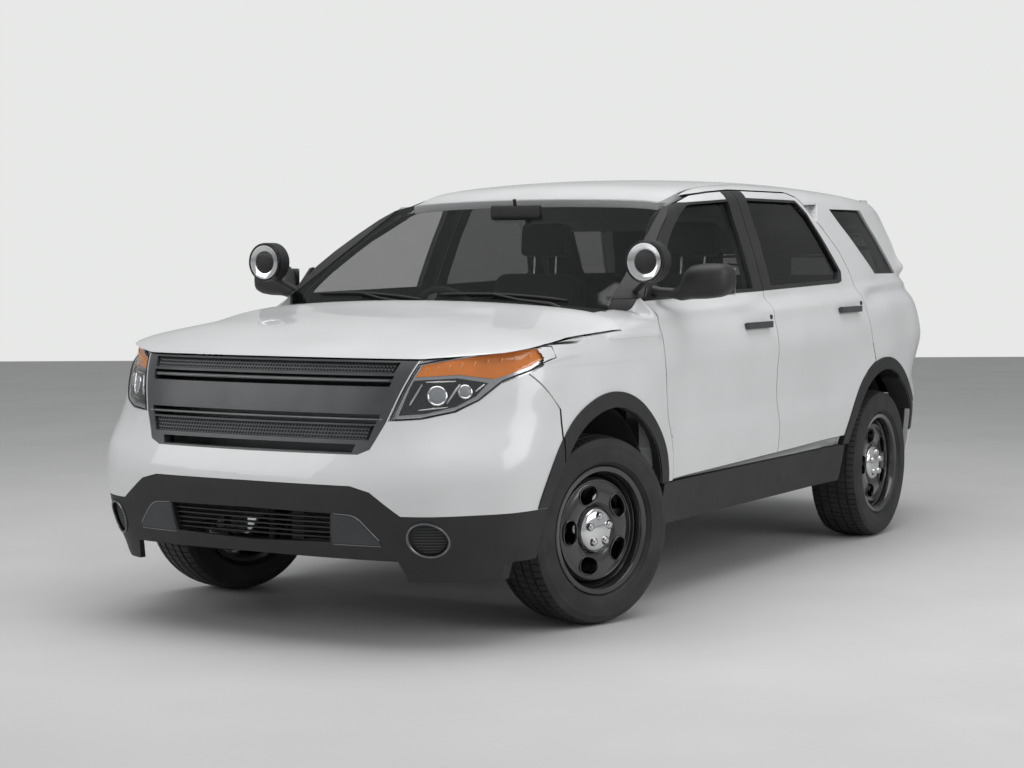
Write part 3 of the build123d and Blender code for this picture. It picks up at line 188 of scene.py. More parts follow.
paint = white_paint()
black = plastic("black_plastic", (0.017, 0.017, 0.018), 0.55)
grey = plastic("grey_plastic", (0.045, 0.047, 0.050), 0.38, 0.15)
grille_mat = plastic("grille_grey", (0.055, 0.057, 0.060), 0.30, 0.06)
gloss_black = plastic("gloss_black", (0.010, 0.010, 0.011), 0.12, 0.02)
trim = plastic("cabin_plastic", (0.022, 0.022, 0.024), 0.6, 0.4, 900)
# Near-black: painted shade behind the grille holes, and the dark seal line round the lamps.
painted_shade_and_seal_black = plastic("painted_shade_and_seal_black", (0.006, 0.006, 0.007), 0.75)
bright_edge = plastic("bright_edge", (0.16, 0.165, 0.17), 0.28, 0.04)
fascia_mat = plastic("fascia_grey", (0.036, 0.037, 0.040), 0.42, 0.25)
wiper_black = plastic("wiper_black", (0.012, 0.012, 0.013), 0.5, 0.2)
pillar_black = plastic("pillar_black", (0.016, 0.016, 0.017), 0.34, 0.12)
mirror_black = plastic("mirror_black", (0.020, 0.020, 0.021), 0.42, 0.45, 800)
cabin_dark = plastic("cabin_lining", (0.020, 0.020, 0.021), 0.7, 0.45, 700)
clear = glass("clear_glass", (0.004, 0.005, 0.005), 0.30)
privacy = glass("privacy_glass", (0.004, 0.004, 0.005), 0.62)
lamp_clear = lens("lamp_clear", (0.030, 0.032, 0.034), 0.10)
spot_clear = lens("spot_glass", (0.03, 0.03, 0.03), 0.08)
red_lens = lens("red_lens", (0.28, 0.008, 0.010), 0.94)
red_bright = lens("red_line", (0.55, 0.03, 0.03))
amber = lens("amber_lens", (0.80, 0.23, 0.03))
amber_bright = lens("amber_flute", (0.95, 0.42, 0.10))
beam_glass = lens("beam_lens", (0.30, 0.32, 0.34))
reflector = metal("lamp_reflector", (0.62, 0.63, 0.65), 0.12)
lamp_chrome = metal("lamp_chrome", (0.80, 0.81, 0.82), 0.10, 0.06)
chrome = metal("cap_chrome", (0.66, 0.66, 0.67), 0.06, 0.05)
silver = metal("mirror_silver", (0.72, 0.74, 0.76), 0.02, 0.02)
cast = metal("cast_metal", (0.20, 0.20, 0.20), 0.55)
fin_metal = metal("radiator_fins", (0.30, 0.31, 0.32), 0.4)
fog_rim = metal("fog_rim", (0.16, 0.165, 0.17), 0.25)
steel_black = painted("wheel_black", (0.010, 0.010, 0.011), 0.20, 0.9)
under = painted("chassis_black", (0.020, 0.020, 0.021), 0.55)
lamp_dark = painted("lamp_dark", (0.016, 0.017, 0.019), 0.14, 0.8)
tyre_mat = rubber("tyre_rubber")
seat_mat = cloth("seat_cloth", (0.028, 0.029, 0.031), (0.045, 0.046, 0.05))

# The materials of each slot: the first one is for the CAD's own nodes.
slots = {"white_paint": [paint], "glass": [clear], "dark_glass": [privacy],
         "black_plastic": [black, gloss_black, painted_shade_and_seal_black, fascia_mat, wiper_black, pillar_black,
                           mirror_black, lamp_dark],
         "grey_plastic": [grey, grille_mat, bright_edge, fog_rim],
         "lamp_reflector": [reflector, lamp_chrome, amber, amber_bright, silver],
         "clear_plastic": [lamp_clear, spot_clear, beam_glass], "red_plastic": [red_lens, red_bright],
         "tyre_rubber": [tyre_mat], "wheel_steel": [steel_black], "hub_metal": [chrome],
         "cast_metal": [cast], "dark_steel": [under], "seat_cloth": [seat_mat],
         "wheel_trim": [trim, cabin_dark], "radiator_metal": [fin_metal]}
special = {"grille": grille_mat, "dashboard": trim}
for part in frame["record"]["subparts"]:
    obj = nodes[part["node"]]
    mat = special.get(part["node"]) or slots[part["material_slot"]][0]
    for slot in obj.material_slots:
        slot.material = mat
    if not obj.material_slots:
        obj.data.materials.append(mat)

# ---------------------------------------------------------------- shapes


def piece(name, bm, mat, body="body", angle=35.0, smooth=True):
    """A piece that rides on a body, shaded smooth but for edges sharper than an angle."""
    for f in bm.faces:
        f.smooth = smooth
    for e in bm.edges if smooth else ():
        if len(e.link_faces) == 2 and e.calc_face_angle(0) > math.radians(angle):
            e.smooth = False
    mesh = bpy.data.meshes.new(name)
    bm.to_mesh(mesh)
    bm.free()
    mesh.materials.append(mat)
    obj = bpy.data.objects.new(name, mesh)
    bpy.context.scene.collection.objects.link(obj)
    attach(obj, body)
    return obj


def bmesh_of(part):
    """A bmesh from a list of points and a list of faces."""
    mesh = bpy.data.meshes.new("part")
    mesh.from_pydata([tuple(v) for v in part[0]], [], part[1])
    bm = bmesh.new()
    bm.from_mesh(mesh)
    bpy.data.meshes.remove(mesh)
    return bm


def build(name, part, mat, body="body", angle=35.0, smooth=True):
    """The piece for a part, with its doubled points merged and its faces turned outward."""
    bm = bmesh_of(part)
    bmesh.ops.remove_doubles(bm, verts=bm.verts, dist=1e-6)
    bmesh.ops.recalc_face_normals(bm, faces=bm.faces)
    return piece(name, bm, mat, body, angle, smooth)


def build_both(name, part, mat):
    """The piece on the car's left, and its mirror image on the right."""
    for side, shape in (("left", part), ("right", flipped(part))):
        build(f"{side}_{name}", shape, mat, angle=60)


def joined(*parts):
    """One vertex and face list from several."""
    verts, faces = [], []
    for v, f in parts:
        base = len(verts)
        verts += list(v)
        faces += [tuple(i + base for i in face) for face in f]
    return verts, faces


def moved(part, matrix):
    return [matrix @ Vector(v) for v in part[0]], part[1]


def turned(part, place, way):
    """A part made round X, turned to face a way and moved to its place."""
    turn = Vector(way).to_track_quat("X", "Z").to_matrix().to_4x4()
    return moved(part, Matrix.Translation(place) @ turn)


def flipped(part):
    """The same shape on the car's other side."""
    return [Vector((-v[0], v[1], v[2])) for v in part[0]], [tuple(reversed(f)) for f in part[1]]


def quads(rows, columns, wrap_rows=False, wrap_columns=False):
    """Faces of a grid whose points lie row after row."""
    faces = []
    for i in range(rows if wrap_rows else rows - 1):
        p, q = i * columns, (i + 1) % rows * columns
        for k in range(columns if wrap_columns else columns - 1):
            m = (k + 1) % columns
            faces.append((p + k, p + m, q + m, q + k))
    return faces


def prism(n):
    """Faces of a plate: n points of its front, then n of its back."""
    return [tuple(range(n)), tuple(range(2 * n - 1, n - 1, -1)),
            *((i, i + n, (i + 1) % n + n, (i + 1) % n) for i in range(n))]


def turns(count, start=0.0):
    """Angles of a whole turn in equal steps."""
    return [2 * math.pi * k / count + start for k in range(count)]


def squarish(value, power):
    """A sine or cosine pushed towards its ends, which makes a circle a rounded square."""
    return math.copysign(abs(value) ** power, value)


def walk(corners, steps):
    """Points along straight runs, so many to a run, without the last corner."""
    return [(a[0] + (b[0] - a[0]) * k / steps, a[1] + (b[1] - a[1]) * k / steps)
            for a, b in zip(corners, corners[1:]) for k in range(steps)]


def rectangle(x0, y0, x1, y1):
    return [(x0, y0), (x1, y0), (x1, y1), (x0, y1)]


def lathe(profile, steps=48, closed=False):
    """Surface of revolution about X: profile holds (along, radius)."""
    verts = [(x, r * math.cos(a), r * math.sin(a)) for a in turns(steps) for x, r in profile]
    return verts, quads(steps, len(profile), True, closed)


def ring(place, way, radius, wall, depth, steps=40):
    """Ring with a rounded rim, facing a way."""
    inner, outer = radius - wall, radius + wall * 0.1
    profile = [(0, inner), (wall * 0.3, radius - wall * 0.9), (wall * 0.55, radius - wall / 2),
               (wall * 0.3, radius), (0, outer), (-depth, outer), (-depth, inner)]
    return turned(lathe(profile, steps, True), place, way)


def dish(place, way, profile, steps=40):
    return turned(lathe(profile, steps), place, way)


def slab(lo, hi, bevel):
    """Box between two corners with its edges rounded."""
    bm = bmesh.new()
    size = Vector(hi) - Vector(lo)
    mid = (Vector(hi) + Vector(lo)) / 2
    bmesh.ops.create_cube(bm, size=1, matrix=Matrix.Translation(mid) @ Matrix.Diagonal((*size, 1)))
    bmesh.ops.bevel(bm, geom=bm.edges[:], offset=bevel, segments=3, profile=0.6, affect="EDGES")
    bm.verts.index_update()
    part = [v.co.copy() for v in bm.verts], [tuple(v.index for v in f.verts) for f in bm.faces]
    bm.free()
    return part


def tube(points, radius, sides=10, closed=False):
    """Round bar along points, with a radius for all or for each."""
    points = [Vector(p) for p in points]
    n = len(points)
    sizes = radius if isinstance(radius, list) else [radius] * n
    verts, side = [], None
    for i, p in enumerate(points):
        before = points[i - 1] if closed or i else p
        after = points[(i + 1) % n] if closed or i < n - 1 else p
        way = (after - before).normalized()
        side = side or way.orthogonal()
        side = (side - way * side.dot(way)).normalized()
        up = way.cross(side)
        verts += [p + (side * math.cos(t) + up * math.sin(t)) * sizes[i] for t in turns(sides)]
    faces = quads(n, sides, closed, True)
    if not closed:
        faces += [tuple(range(sides))[::-1], tuple((n - 1) * sides + k for k in range(sides))]
    return verts, faces


def plate(outline, thick, plane):
    """Flat plate: outline in the plane's own x and y, thickness behind it."""
    return [plane @ Vector((x, y, z)) for z in (0, -thick) for x, y in outline], prism(len(outline))


trees = {}


def probe(node, start, way):
    """Where a ray first meets a CAD node, and the surface normal there."""
    if node not in trees:
        bm = bmesh.new()
        bm.from_mesh(nodes[node].data)
        trees[node] = BVHTree.FromBMesh(bm)
        bm.free()
    return trees[node].ray_cast(Vector(start), Vector(way))[:2]


def front_hit(node, x, z):
    """A node's surface as seen from the front, with its normal turned to the front."""
    spot, normal = probe(node, (x, -AHEAD, z), (0, 1, 0))
    return spot, -normal if spot and normal.y >= 0 else normal


def front_y(node, x, z, default=-2.3):
    spot, _ = front_hit(node, x, z)
    return spot.y if spot else default


def on_front(node, x, z, proud):
    """A point a little proud of a node's front."""
    return x, front_y(node, x, z) - proud, z


def back_y(node, x, z, default=2.45):
    spot, _ = probe(node, (x, AHEAD, z), (0, -1, 0))
    return spot.y if spot else default


def side_x(node, y, z, default=0.95):
    spot, _ = probe(node, (BESIDE, y, z), (-1, 0, 0))
    return spot.x if spot else default


def inside(point, outline):
    """Whether a flat point is within a closed outline."""
    u, v = point
    hit = False
    for (a, b), (c, d) in zip(outline, outline[1:] + outline[:1]):
        if (b > v) != (d > v) and u < (c - a) * (v - b) / (d - b) + a:
            hit = not hit
    return hit


def copied(node, keep):
    """The faces of a CAD node for which keep(face) holds."""
    bm = bmesh.new()
    bm.from_mesh(nodes[node].data)
    bmesh.ops.remove_doubles(bm, verts=bm.verts, dist=1e-6)
    bmesh.ops.delete(bm, geom=[f for f in bm.faces if not keep(f)], context="FACES")
    return bm


def push_out(bm, distance):
    """Moves a surface along its normals, and gives them."""
    bm.normal_update()
    normals = {v: v.normal.copy() for v in bm.verts}
    for v, normal in normals.items():
        v.co += normal * distance
    return normals


def split(bm, spot, normal, clear=False):
    bmesh.ops.bisect_plane(bm, geom=bm.verts[:] + bm.edges[:] + bm.faces[:], dist=1e-6,
                           plane_co=spot, plane_no=normal, clear_inner=clear)


def skin(name, node, way, mat, body="body", out=0.0012, outline=None, axes=(1, 2), steep=0.25,
         cuts=(), deep=0.0):
    """Thin cover on a CAD node: its faces that look along way, moved out, with a rim so deep.

    It lies inside an outline in two axes, and past each cut, a direction and a distance."""
    way, margin = Vector(way), 0.4

    def near(face):
        """Whether a face looks the right way and is not far off the wrong side of a cut."""
        return face.normal.dot(way) >= steep and all(
            face.calc_center_median().dot(axis) >= distance - margin for axis, distance in cuts)

    bm = copied(node, near)
    if outline:
        u, v = axes
        for (a, b), (c, d) in zip(outline, outline[1:] + outline[:1]):
            spot, normal = [0.0] * 3, [0.0] * 3
            spot[u], spot[v] = a, b
            normal[u], normal[v] = b - d, c - a
            split(bm, spot, normal)
        middles = {f: f.calc_center_median() for f in bm.faces}
        bmesh.ops.delete(bm, geom=[f for f, m in middles.items() if not inside((m[u], m[v]), outline)],
                         context="FACES")
    for axis, distance in cuts:
        split(bm, axis * distance, axis, True)
    normals = push_out(bm, out)
    if deep:
        rim = [e for e in bm.edges if e.is_boundary]
        for v in bmesh.ops.extrude_edge_only(bm, edges=rim)["geom"]:
            if isinstance(v, bmesh.types.BMVert):
                outer = [w for w in (e.other_vert(v) for e in v.link_edges) if w in normals]
                v.co -= normals[outer[0]] * deep
    return piece(name, bm, mat, body, 40.0)

# ---------------------------------------------------------------- body panels


def bridged(line, dent):
    """A row of depths, with smooth curves over what lies a dent inside the line between its ends."""
    last = len(line) - 1
    good = [i for i, x in enumerate(line)
            if x > line[0] + (line[-1] - line[0]) * i / last - dent]
    filled = list(line)
    for i in set(range(len(line))) - set(good):
        low = max((k for k in good if k < i), default=None)
        up = min((k for k in good if k > i), default=None)
        if low is None or up is None:
            filled[i] = line[up if low is None else low]
            continue
        span = up - low
        a = (line[low] - line[max(low - 1, 0)] if low - 1 in good else 0.0) * span
        b = (line[min(up + 1, last)] - line[up] if up + 1 in good else 0.0) * span
        t = (i - low) / span
        filled[i] = ((2 * t**3 - 3 * t**2 + 1) * line[low] + (t**3 - 2 * t**2 + t) * a
                     + (3 * t**2 - 2 * t**3) * line[up] + (t**3 - t**2) * b)
    return filled


def mend(name, base, ys, zs, step, passes=0, clear=(), outline=None):
    """Smooth outer panel stretched over CAD panels and over the openings between them.

    Its points are where rays from the side meet the base nodes. It keeps off the seams of the
    nodes in clear, and each smoothing pass only raises points."""
    dent, proud, seam, level = 0.008, 0.0007, 0.009, 0.06
    rows, columns = int((ys[1] - ys[0]) / step) + 1, int((zs[1] - zs[0]) / step) + 1
    lines = [bridged([max(side_x(n, ys[0] + i * step, zs[0] + j * step, 0.0) for n in base)
                      for i in range(rows)], dent) for j in range(columns)]
    grid = [list(row) for row in zip(*lines)]
    for _ in range(passes):
        last = [list(row) for row in grid]
        for i in range(1, rows - 1):
            for j in range(1, columns - 1):
                mean = (last[i - 1][j] + last[i + 1][j] + last[i][j - 1] + last[i][j + 1]) / 4
                grid[i][j] = max(last[i][j], mean)
    verts = [(grid[i][j] + proud, ys[0] + i * step, zs[0] + j * step)
             for i in range(rows) for j in range(columns)]

    def shown(i, j):
        """Whether a cell lies in the outline and off the seams."""
        y, z = ys[0] + (i + 0.5) * step, zs[0] + (j + 0.5) * step
        return (not outline or inside((y, z), outline)) and not any(
            abs(side_x(n, y + dy, z + dz, -AHEAD) - grid[i][j]) < level
            for n in clear for dy, dz in ((-seam, 0), (seam, 0), (0, seam), (0, -seam)))

    faces = [f for f in quads(rows, columns) if shown(*divmod(f[0], columns))]
    used = sorted({k for f in faces for k in f})
    order = {k: n for n, k in enumerate(used)}
    part = [verts[k] for k in used], [tuple(order[k] for k in f) for f in faces]
    build_both(name, part, paint)


def fender_corner():
    """Corner between fender and door, from a section at the fender to one at the door."""
    fender = [(0.9665, 1.118), (0.954, 1.140), (0.925, 1.160), (0.885, 1.1725), (0.850, 1.181),
              (0.815, 1.187)]
    door = [(0.953, 1.118), (0.948, 1.140), (0.943, 1.160), (0.928, 1.180), (0.899, 1.202),
            (0.868, 1.236)]
    steps, start, length, proud = 10, -1.112, 0.049, 0.0006
    verts = []
    for i in range(steps + 1):
        t = i / steps
        s = t * t * (3 - 2 * t)
        verts += [(a[0] + (b[0] - a[0]) * s + proud, start + t * length,
                   a[1] + (b[1] - a[1]) * s + proud) for a, b in zip(fender, door)]
    build_both("fender_corner", (verts, quads(steps + 1, len(door))), paint)


def pillar_foot():
    """Black foot of the front pillar, which widens backwards."""
    section = ((-0.004, 1.243), (0.002, 1.225), (0.004, 1.200), (0.004, 1.172))
    rows, start, step = 12, -1.172, 0.0098
    verts = []
    for y in (start + i * step for i in range(rows)):
        x = 0.800 + (y + 1.144) * 0.85
        verts += [(x + dx, y, z) for dx, z in section]
    build_both("pillar_foot", (verts, quads(rows, len(section))), pillar_black)


def panels():
    """Covers for the places where the CAD's outer skin has a ledge, a notch or an opening."""
    mend("fender_crest", ["front_fenders"], (-1.66, -1.062), (1.000, 1.122), 0.008, 40, ["hood"])
    tip = [(-1.976, 1.086), (-1.962, 1.040), (-1.975, 1.004), (-1.67, 1.004), (-1.67, 1.110),
           (-1.93, 1.11)]
    mend("lamp_end", ["front_fenders", "headlamp_lenses"], (-1.98, -1.66), (1.002, 1.106), 0.005,
         clear=["hood"], outline=tip)
    mend("upper_corner", ["body_sides", "rear_left_door"], (0.72, 1.03), (1.52, 1.70), 0.006,
         clear=["rear_left_door", "rear_left_door_glass"])
    mend("rear_quarter", ["body_sides", "tail_lamps"], (1.88, 2.20), (0.64, 1.62), 0.010,
         clear=["tail_lamps", "liftgate", "rear_bumper", "quarter_glass"])
    fender_corner()
    pillar_foot()


def arch_liners_and_painted_shade():
    """Black on the white panels' inner faces round the wheels: the dark arch liners, and painted shade where it
    covers the panels' white inner returns.
    """
    hub_height, reach, top, outward = 0.37, 0.62, 1.04, 0.2
    for node, axle, name in (("front_fenders", -1.51, "front"), ("body_sides", 1.35, "rear")):
        def lines_arch(face):
            c = face.calc_center_median()
            return (face.normal.x * math.copysign(1, c.x) < outward and c.z < top
                    and math.hypot(axle - c.y, hub_height - c.z) < reach)

        bm = copied(node, lines_arch)
        push_out(bm, 0.0012)
        # Liner black that also paints shade over the white inner returns in the arches.
        piece(f"{name}_arch_liner_and_painted_shade", bm, trim)


# ---------------------------------------------------------------- front


def lattice(node, half_low, half_high, z0, z1, rows, pitch, lean):
    """Punched sheet of leaning holes that lies on a node's front, row by row."""
    web, proud, sunk, inset = 0.62, 0.004, 0.0008, 0.001
    height = (z1 - z0) / rows
    holes = []
    for row in range(rows):
        low, high = z0 + row * height, z0 + (row + 1) * height
        mid = (low + high) / 2
        share = (row + 0.5) / rows
        half = half_low + (half_high - half_low) * share
        for k in range(int(2 * half / pitch)):
            x = -half + (k + 0.5 * (row % 2)) * pitch + pitch / 2
            if x + pitch / 2 + lean > half:
                continue
            y = front_y(node, x, mid)
            slope = (front_y(node, x, high - inset) - front_y(node, x, low + inset)) / height
            verts = []
            for scale, back in ((1.0, proud), (web, proud), (web, sunk)):
                for u, v in ((-1, -1), (1, -1), (1, 1), (-1, 1)):
                    dx = (u * scale * pitch + v * scale * lean) / 2
                    dz = v * scale * height / 2
                    verts.append((x + dx, y + slope * dz - back, mid + dz))
            holes.append((verts, quads(3, 4, wrap_columns=True)))
    return joined(*holes)


def grille():
    """Mesh in the upper and lower openings, a near-black sheet behind it as painted shade in the openings, and a
    bright line along two bars.
    """
    for name, low, high, z0, z1, rows in (("upper", 0.545, 0.553, 0.993, 1.029, 3),
                                          ("lower", 0.486, 0.500, 0.758, 0.807, 4)):
        build(f"grille_{name}_mesh", lattice("grille", low, high, z0, z1, rows, 0.0135, 0.008),
              grille_mat, smooth=False)
        # Near-black sheet behind the mesh: painted shade for the depth of the opening.
        skin(f"grille_{name}_painted_shade", "grille", (0, -1, 0), painted_shade_and_seal_black, out=0.0005,
             outline=[(-low, z0), (low, z0), (high, z1), (-high, z1)], axes=(0, 2))
    for z in (0.966, 0.830):
        line = [on_front("grille", k * 0.0265, z, 0.0005) for k in range(-20, 21)]
        build(f"grille_bar_{int(z * 1000)}", tube(line, 0.0028, 8), bright_edge)


lamp_outline = [(0.566, 0.832), (0.628, 1.020), (0.770, 1.052), (0.915, 1.078), (0.952, 1.072),
                (0.955, 1.040), (0.922, 0.998), (0.857, 0.961), (0.808, 0.902), (0.752, 0.864),
                (0.663, 0.840)]
amber_outline = [(0.615, 0.978), (0.632, 1.018), (0.770, 1.046), (0.918, 1.071), (0.940, 1.046),
                 (0.912, 1.008), (0.860, 0.978), (0.835, 0.968), (0.740, 0.985)]
beam_outline = [(0.580, 0.844), (0.612, 0.966), (0.740, 0.973), (0.822, 0.955), (0.795, 0.908),
                (0.748, 0.874), (0.662, 0.850)]
closed_lamp = lamp_outline + lamp_outline[:1]


def lamp_beams(side, name):
    """Two round lenses in bright rings, on the dark part of a lamp."""
    for k, (x, z, r) in enumerate(((0.690, 0.912, 0.036), (0.765, 0.925, 0.026))):
        spot, way = front_hit("headlamps", side * x, z)
        spot = spot + way * 0.0022
        bowl = [(0.0030, 0.0), (0.0042, r * 0.35), (0.0030, r * 0.62), (0.0, r - 0.006)]
        build(f"{name}_beam_ring_{k}", ring(spot, way, r, 0.007, 0.004), lamp_chrome)
        build(f"{name}_beam_lens_{k}", dish(spot, way, bowl), beam_glass, angle=60)


def lamp_facets(side):
    """Bright strips round the beams, thickest at their middles."""
    strips = []
    for start, end, r in (((0.612, 0.880), (0.640, 0.952), 0.0045),
                          ((0.720, 0.885), (0.748, 0.952), 0.0050),
                          ((0.650, 0.960), (0.735, 0.962), 0.0035),
                          ((0.640, 0.862), (0.725, 0.872), 0.0030),
                          ((0.792, 0.925), (0.812, 0.950), 0.0040)):
        hits = [front_hit("headlamps", side * x, z) for x, z in [*walk([start, end], 6), end]]
        line = [spot + normal * 0.0022 for spot, normal in hits if spot]
        sizes = [r * (0.4 + 0.6 * math.sin(math.pi * (k + 0.5) / len(line)))
                 for k in range(len(line))]
        strips.append(tube(line, sizes, 6))
    return joined(*strips)


def lamp_flutes(side):
    """Short leaning ribs along the amber strip."""
    ribs = []
    for k in range(9):
        x = 0.640 + k * 0.033
        low, high = 0.990 + 0.004 * k, 1.012 + 0.0052 * k
        y = front_y("headlamps", side * x, (low + high) / 2) - 0.0038
        ribs.append(tube([(side * x, y, low), (side * (x + 0.010), y + 0.0018, high)], 0.0022, 6))
    return joined(*ribs)


def lamp_surround(side):
    spots = [front_hit("headlamps", side * x, z)[0] for x, z in walk(closed_lamp, 8)]
    return tube([spot - Vector((0, 0.001, 0)) for spot in spots if spot], 0.0035, 6, True)


def lamp_seal(side):
    """Black line a little outside the lens, with a gap where it starts and ends."""
    mid, spots = Vector((0.76, 0.96)), []
    for p in map(Vector, walk(closed_lamp, 8)):
        p += (p - mid).normalized() * 0.006
        spots.append(front_hit("headlamp_lenses", side * p.x, p.y)[0])
    return tube([spot - Vector((0, 0.0006, 0)) for spot in spots if spot], 0.0026, 6)


def headlamp():
    """Inside of the lamps, behind the clear lens."""
    for side, name in SIDES:
        lit = (side * 0.35, -1, 0.05)
        skin(f"{name}_lamp_amber", "headlamps", lit, amber, out=0.0035,
             outline=[(side * x, z) for x, z in amber_outline], axes=(0, 2), steep=0.05, deep=0.003)
        skin(f"{name}_lamp_bezel", "headlamps", lit, lamp_dark, out=0.0018,
             outline=[(side * x, z) for x, z in beam_outline], axes=(0, 2), steep=0.05)
        lamp_beams(side, name)
        build(f"{name}_lamp_facets", lamp_facets(side), lamp_chrome, angle=60)
        build(f"{name}_lamp_flutes", lamp_flutes(side), amber_bright)
        build(f"{name}_lamp_surround", lamp_surround(side), lamp_chrome)
        build(f"{name}_lamp_seal", lamp_seal(side), painted_shade_and_seal_black)


def blank_plate(side, name):
    """Panel beside the lower opening, with bright edges above and below."""
    outline = [(0.367, 0.493), (0.440, 0.489), (0.470, 0.478), (0.548, 0.394), (0.545, 0.388),
               (0.356, 0.388)]
    skin(f"{name}_blank_plate", "lower_fascia", (0, -1, 0), fascia_mat, out=0.0025,
         outline=[(side * x, z) for x, z in outline], axes=(0, 2), steep=0.2, deep=0.0025)
    edge = [(0.375, 0.4955), (0.440, 0.4925), (0.462, 0.486), (0.480, 0.474), (0.515, 0.437),
            (0.552, 0.396)]
    upper = [on_front("lower_fascia", side * x, z, 0.001) for x, z in walk(edge, 5)]
    sizes = [0.0012 + 0.0016 * min(1, i / 12) for i in range(len(upper))]
    build(f"{name}_blank_edge", tube(upper, sizes, 8), bright_edge)
    lower = [on_front("lower_fascia", side * (0.36 + k * 0.0098), 0.383, 0.0005) for k in range(20)]
    build(f"{name}_blank_foot", tube(lower, 0.0018, 6), bright_edge)


def fog_lamp(side, name):
    """Ring and cross ribs over the round opening."""
    x, z, r = side * 0.709, 0.409, 0.058
    rim, out = r + 0.004, Vector((side * 0.25, -1, 0)).normalized() * 0.001
    circle = [(x + rim * math.cos(a), z + rim * math.sin(a)) for a in turns(48)]
    line = [Vector(on_front("lower_fascia", u, v, 0)) + out for u, v in circle]
    build(f"{name}_fog_ring", tube(line, 0.0050, 8, True), fog_rim)
    ribs = []
    for h in (k * 0.0108 for k in range(-4, 5)):
        w = math.sqrt(max(0, (r - 0.008) ** 2 - h * h))
        ribs.append(tube([on_front("lower_fascia", x - w + 2 * w * t / 8, z + h, 0.002)
                          for t in range(9)], 0.0026, 6))
    build(f"{name}_fog_ribs", joined(*ribs), fascia_mat)


def fascia():
    for side, name in SIDES:
        blank_plate(side, name)
        fog_lamp(side, name)


def spotlight():
    """Bowl, rim, bulb and glass of the spot lamps; profiles hold (forward, radius)."""
    bowl = [(0.0012, 0.006), (0.0016, 0.020), (0.0036, 0.040), (0.0056, 0.052), (0.0060, 0.055),
            (0.0085, 0.064), (0.0125, 0.074)]
    bulb = [(0.016, 0.0), (0.015, 0.007), (0.010, 0.012), (0.0, 0.013)]
    cover = [(0.0190, 0.0), (0.0180, 0.030), (0.0150, 0.056), (0.0090, 0.074)]
    ahead = (0, -1, 0)
    for side, name in SIDES:
        x, y, z = place = side * 0.935, -1.150, 1.380
        build(f"{name}_spot_bowl", dish(place, ahead, bowl, 64), lamp_chrome, angle=60)
        build(f"{name}_spot_rim", ring((x, y - 0.010, z), ahead, 0.083, 0.010, 0.012, 64), gloss_black)
        build(f"{name}_spot_bulb", dish(place, ahead, bulb, 24), lamp_chrome, angle=60)
        build(f"{name}_spot_glass", dish(place, ahead, cover, 48), spot_clear, angle=60)


def wipers():
    """Blades that lie along the foot of the windshield, each with its arm."""
    steps = 12
    for x0, x1, name in ((0.62, 0.02, "left"), (-0.05, -0.62, "right")):
        blade = []
        for t in (k / steps for k in range(steps + 1)):
            x = x0 + (x1 - x0) * t
            z = 1.222 + 0.028 * math.sin(math.pi * t) * 0.4 + 0.02 * t
            blade.append(Vector((x, front_y("windshield", x, z + 0.006, -1.2) - 0.010, z + 0.004)))
        build(f"{name}_wiper_blade", tube(blade, [0.004] + [0.0065] * (steps - 1) + [0.004], 8),
              wiper_black)
        foot = Vector((x0 + (x1 - x0) * 0.02, blade[0].y - 0.035, 1.192))
        mid = blade[7] + Vector((0, -0.012, 0.002))
        arm = [foot, foot.lerp(mid, 0.12) + Vector((0, -0.004, 0.012)), foot.lerp(mid, 0.6), mid]
        build(f"{name}_wiper_arm", tube(arm, [0.012, 0.009, 0.006, 0.005], 8), wiper_black)


# ---------------------------------------------------------------- sides

window_trim = {
    "front": [(-1.075, 1.222), (-0.90, 1.226), (-0.02, 1.240), (0.10, 1.242), (0.145, 1.700),
              (0.020, 1.700), (0.016, 1.650), (-0.335, 1.630), (-0.452, 1.628), (-0.668, 1.516),
              (-0.905, 1.372), (-1.062, 1.232)],
    "rear": [(0.06, 1.242), (0.98, 1.262), (1.030, 1.272), (1.052, 1.318), (0.846, 1.596),
             (0.752, 1.657), (0.214, 1.659), (0.216, 1.700), (0.10, 1.700)]}
pillar_outlines = {
    "front": [(-1.14, 1.19), (-1.03, 1.19), (-0.86, 1.35), (-0.62, 1.49), (-0.38, 1.60),
              (-0.36, 1.69), (-0.52, 1.69), (-0.78, 1.56), (-1.02, 1.40)],
    "middle": [(0.03, 1.24), (0.15, 1.24), (0.20, 1.69), (0.04, 1.69)]}


def beyond(side, x, z):
    """Cuts that keep what is further out than x on a side, and higher than z."""
    return (Vector((side, 0, 0)), x), (UP, z)


def window_covers():
    """Black covers on the door frames round the side windows."""
    for side, name in SIDES:
        for row in ROWS:
            door = f"{row}_{name}_door"
            skin(f"{row}_{name}_frame_cover_0", door, (side, 0, 0.2), pillar_black, door,
                 outline=window_trim[row], steep=-2, cuts=beyond(side, 0.55, 1.2), deep=0.002)


def pillar_gaps():
    """Black on the body where it shows in the gaps beside the front pillar and between doors."""
    for side, name in SIDES:
        for where, outline in pillar_outlines.items():
            skin(f"{name}_{where}_pillar_gap", "body_sides", (side, 0, 0), pillar_black, out=0.0008,
                 outline=outline, steep=-0.2, cuts=beyond(side, 0.55, 1.2))


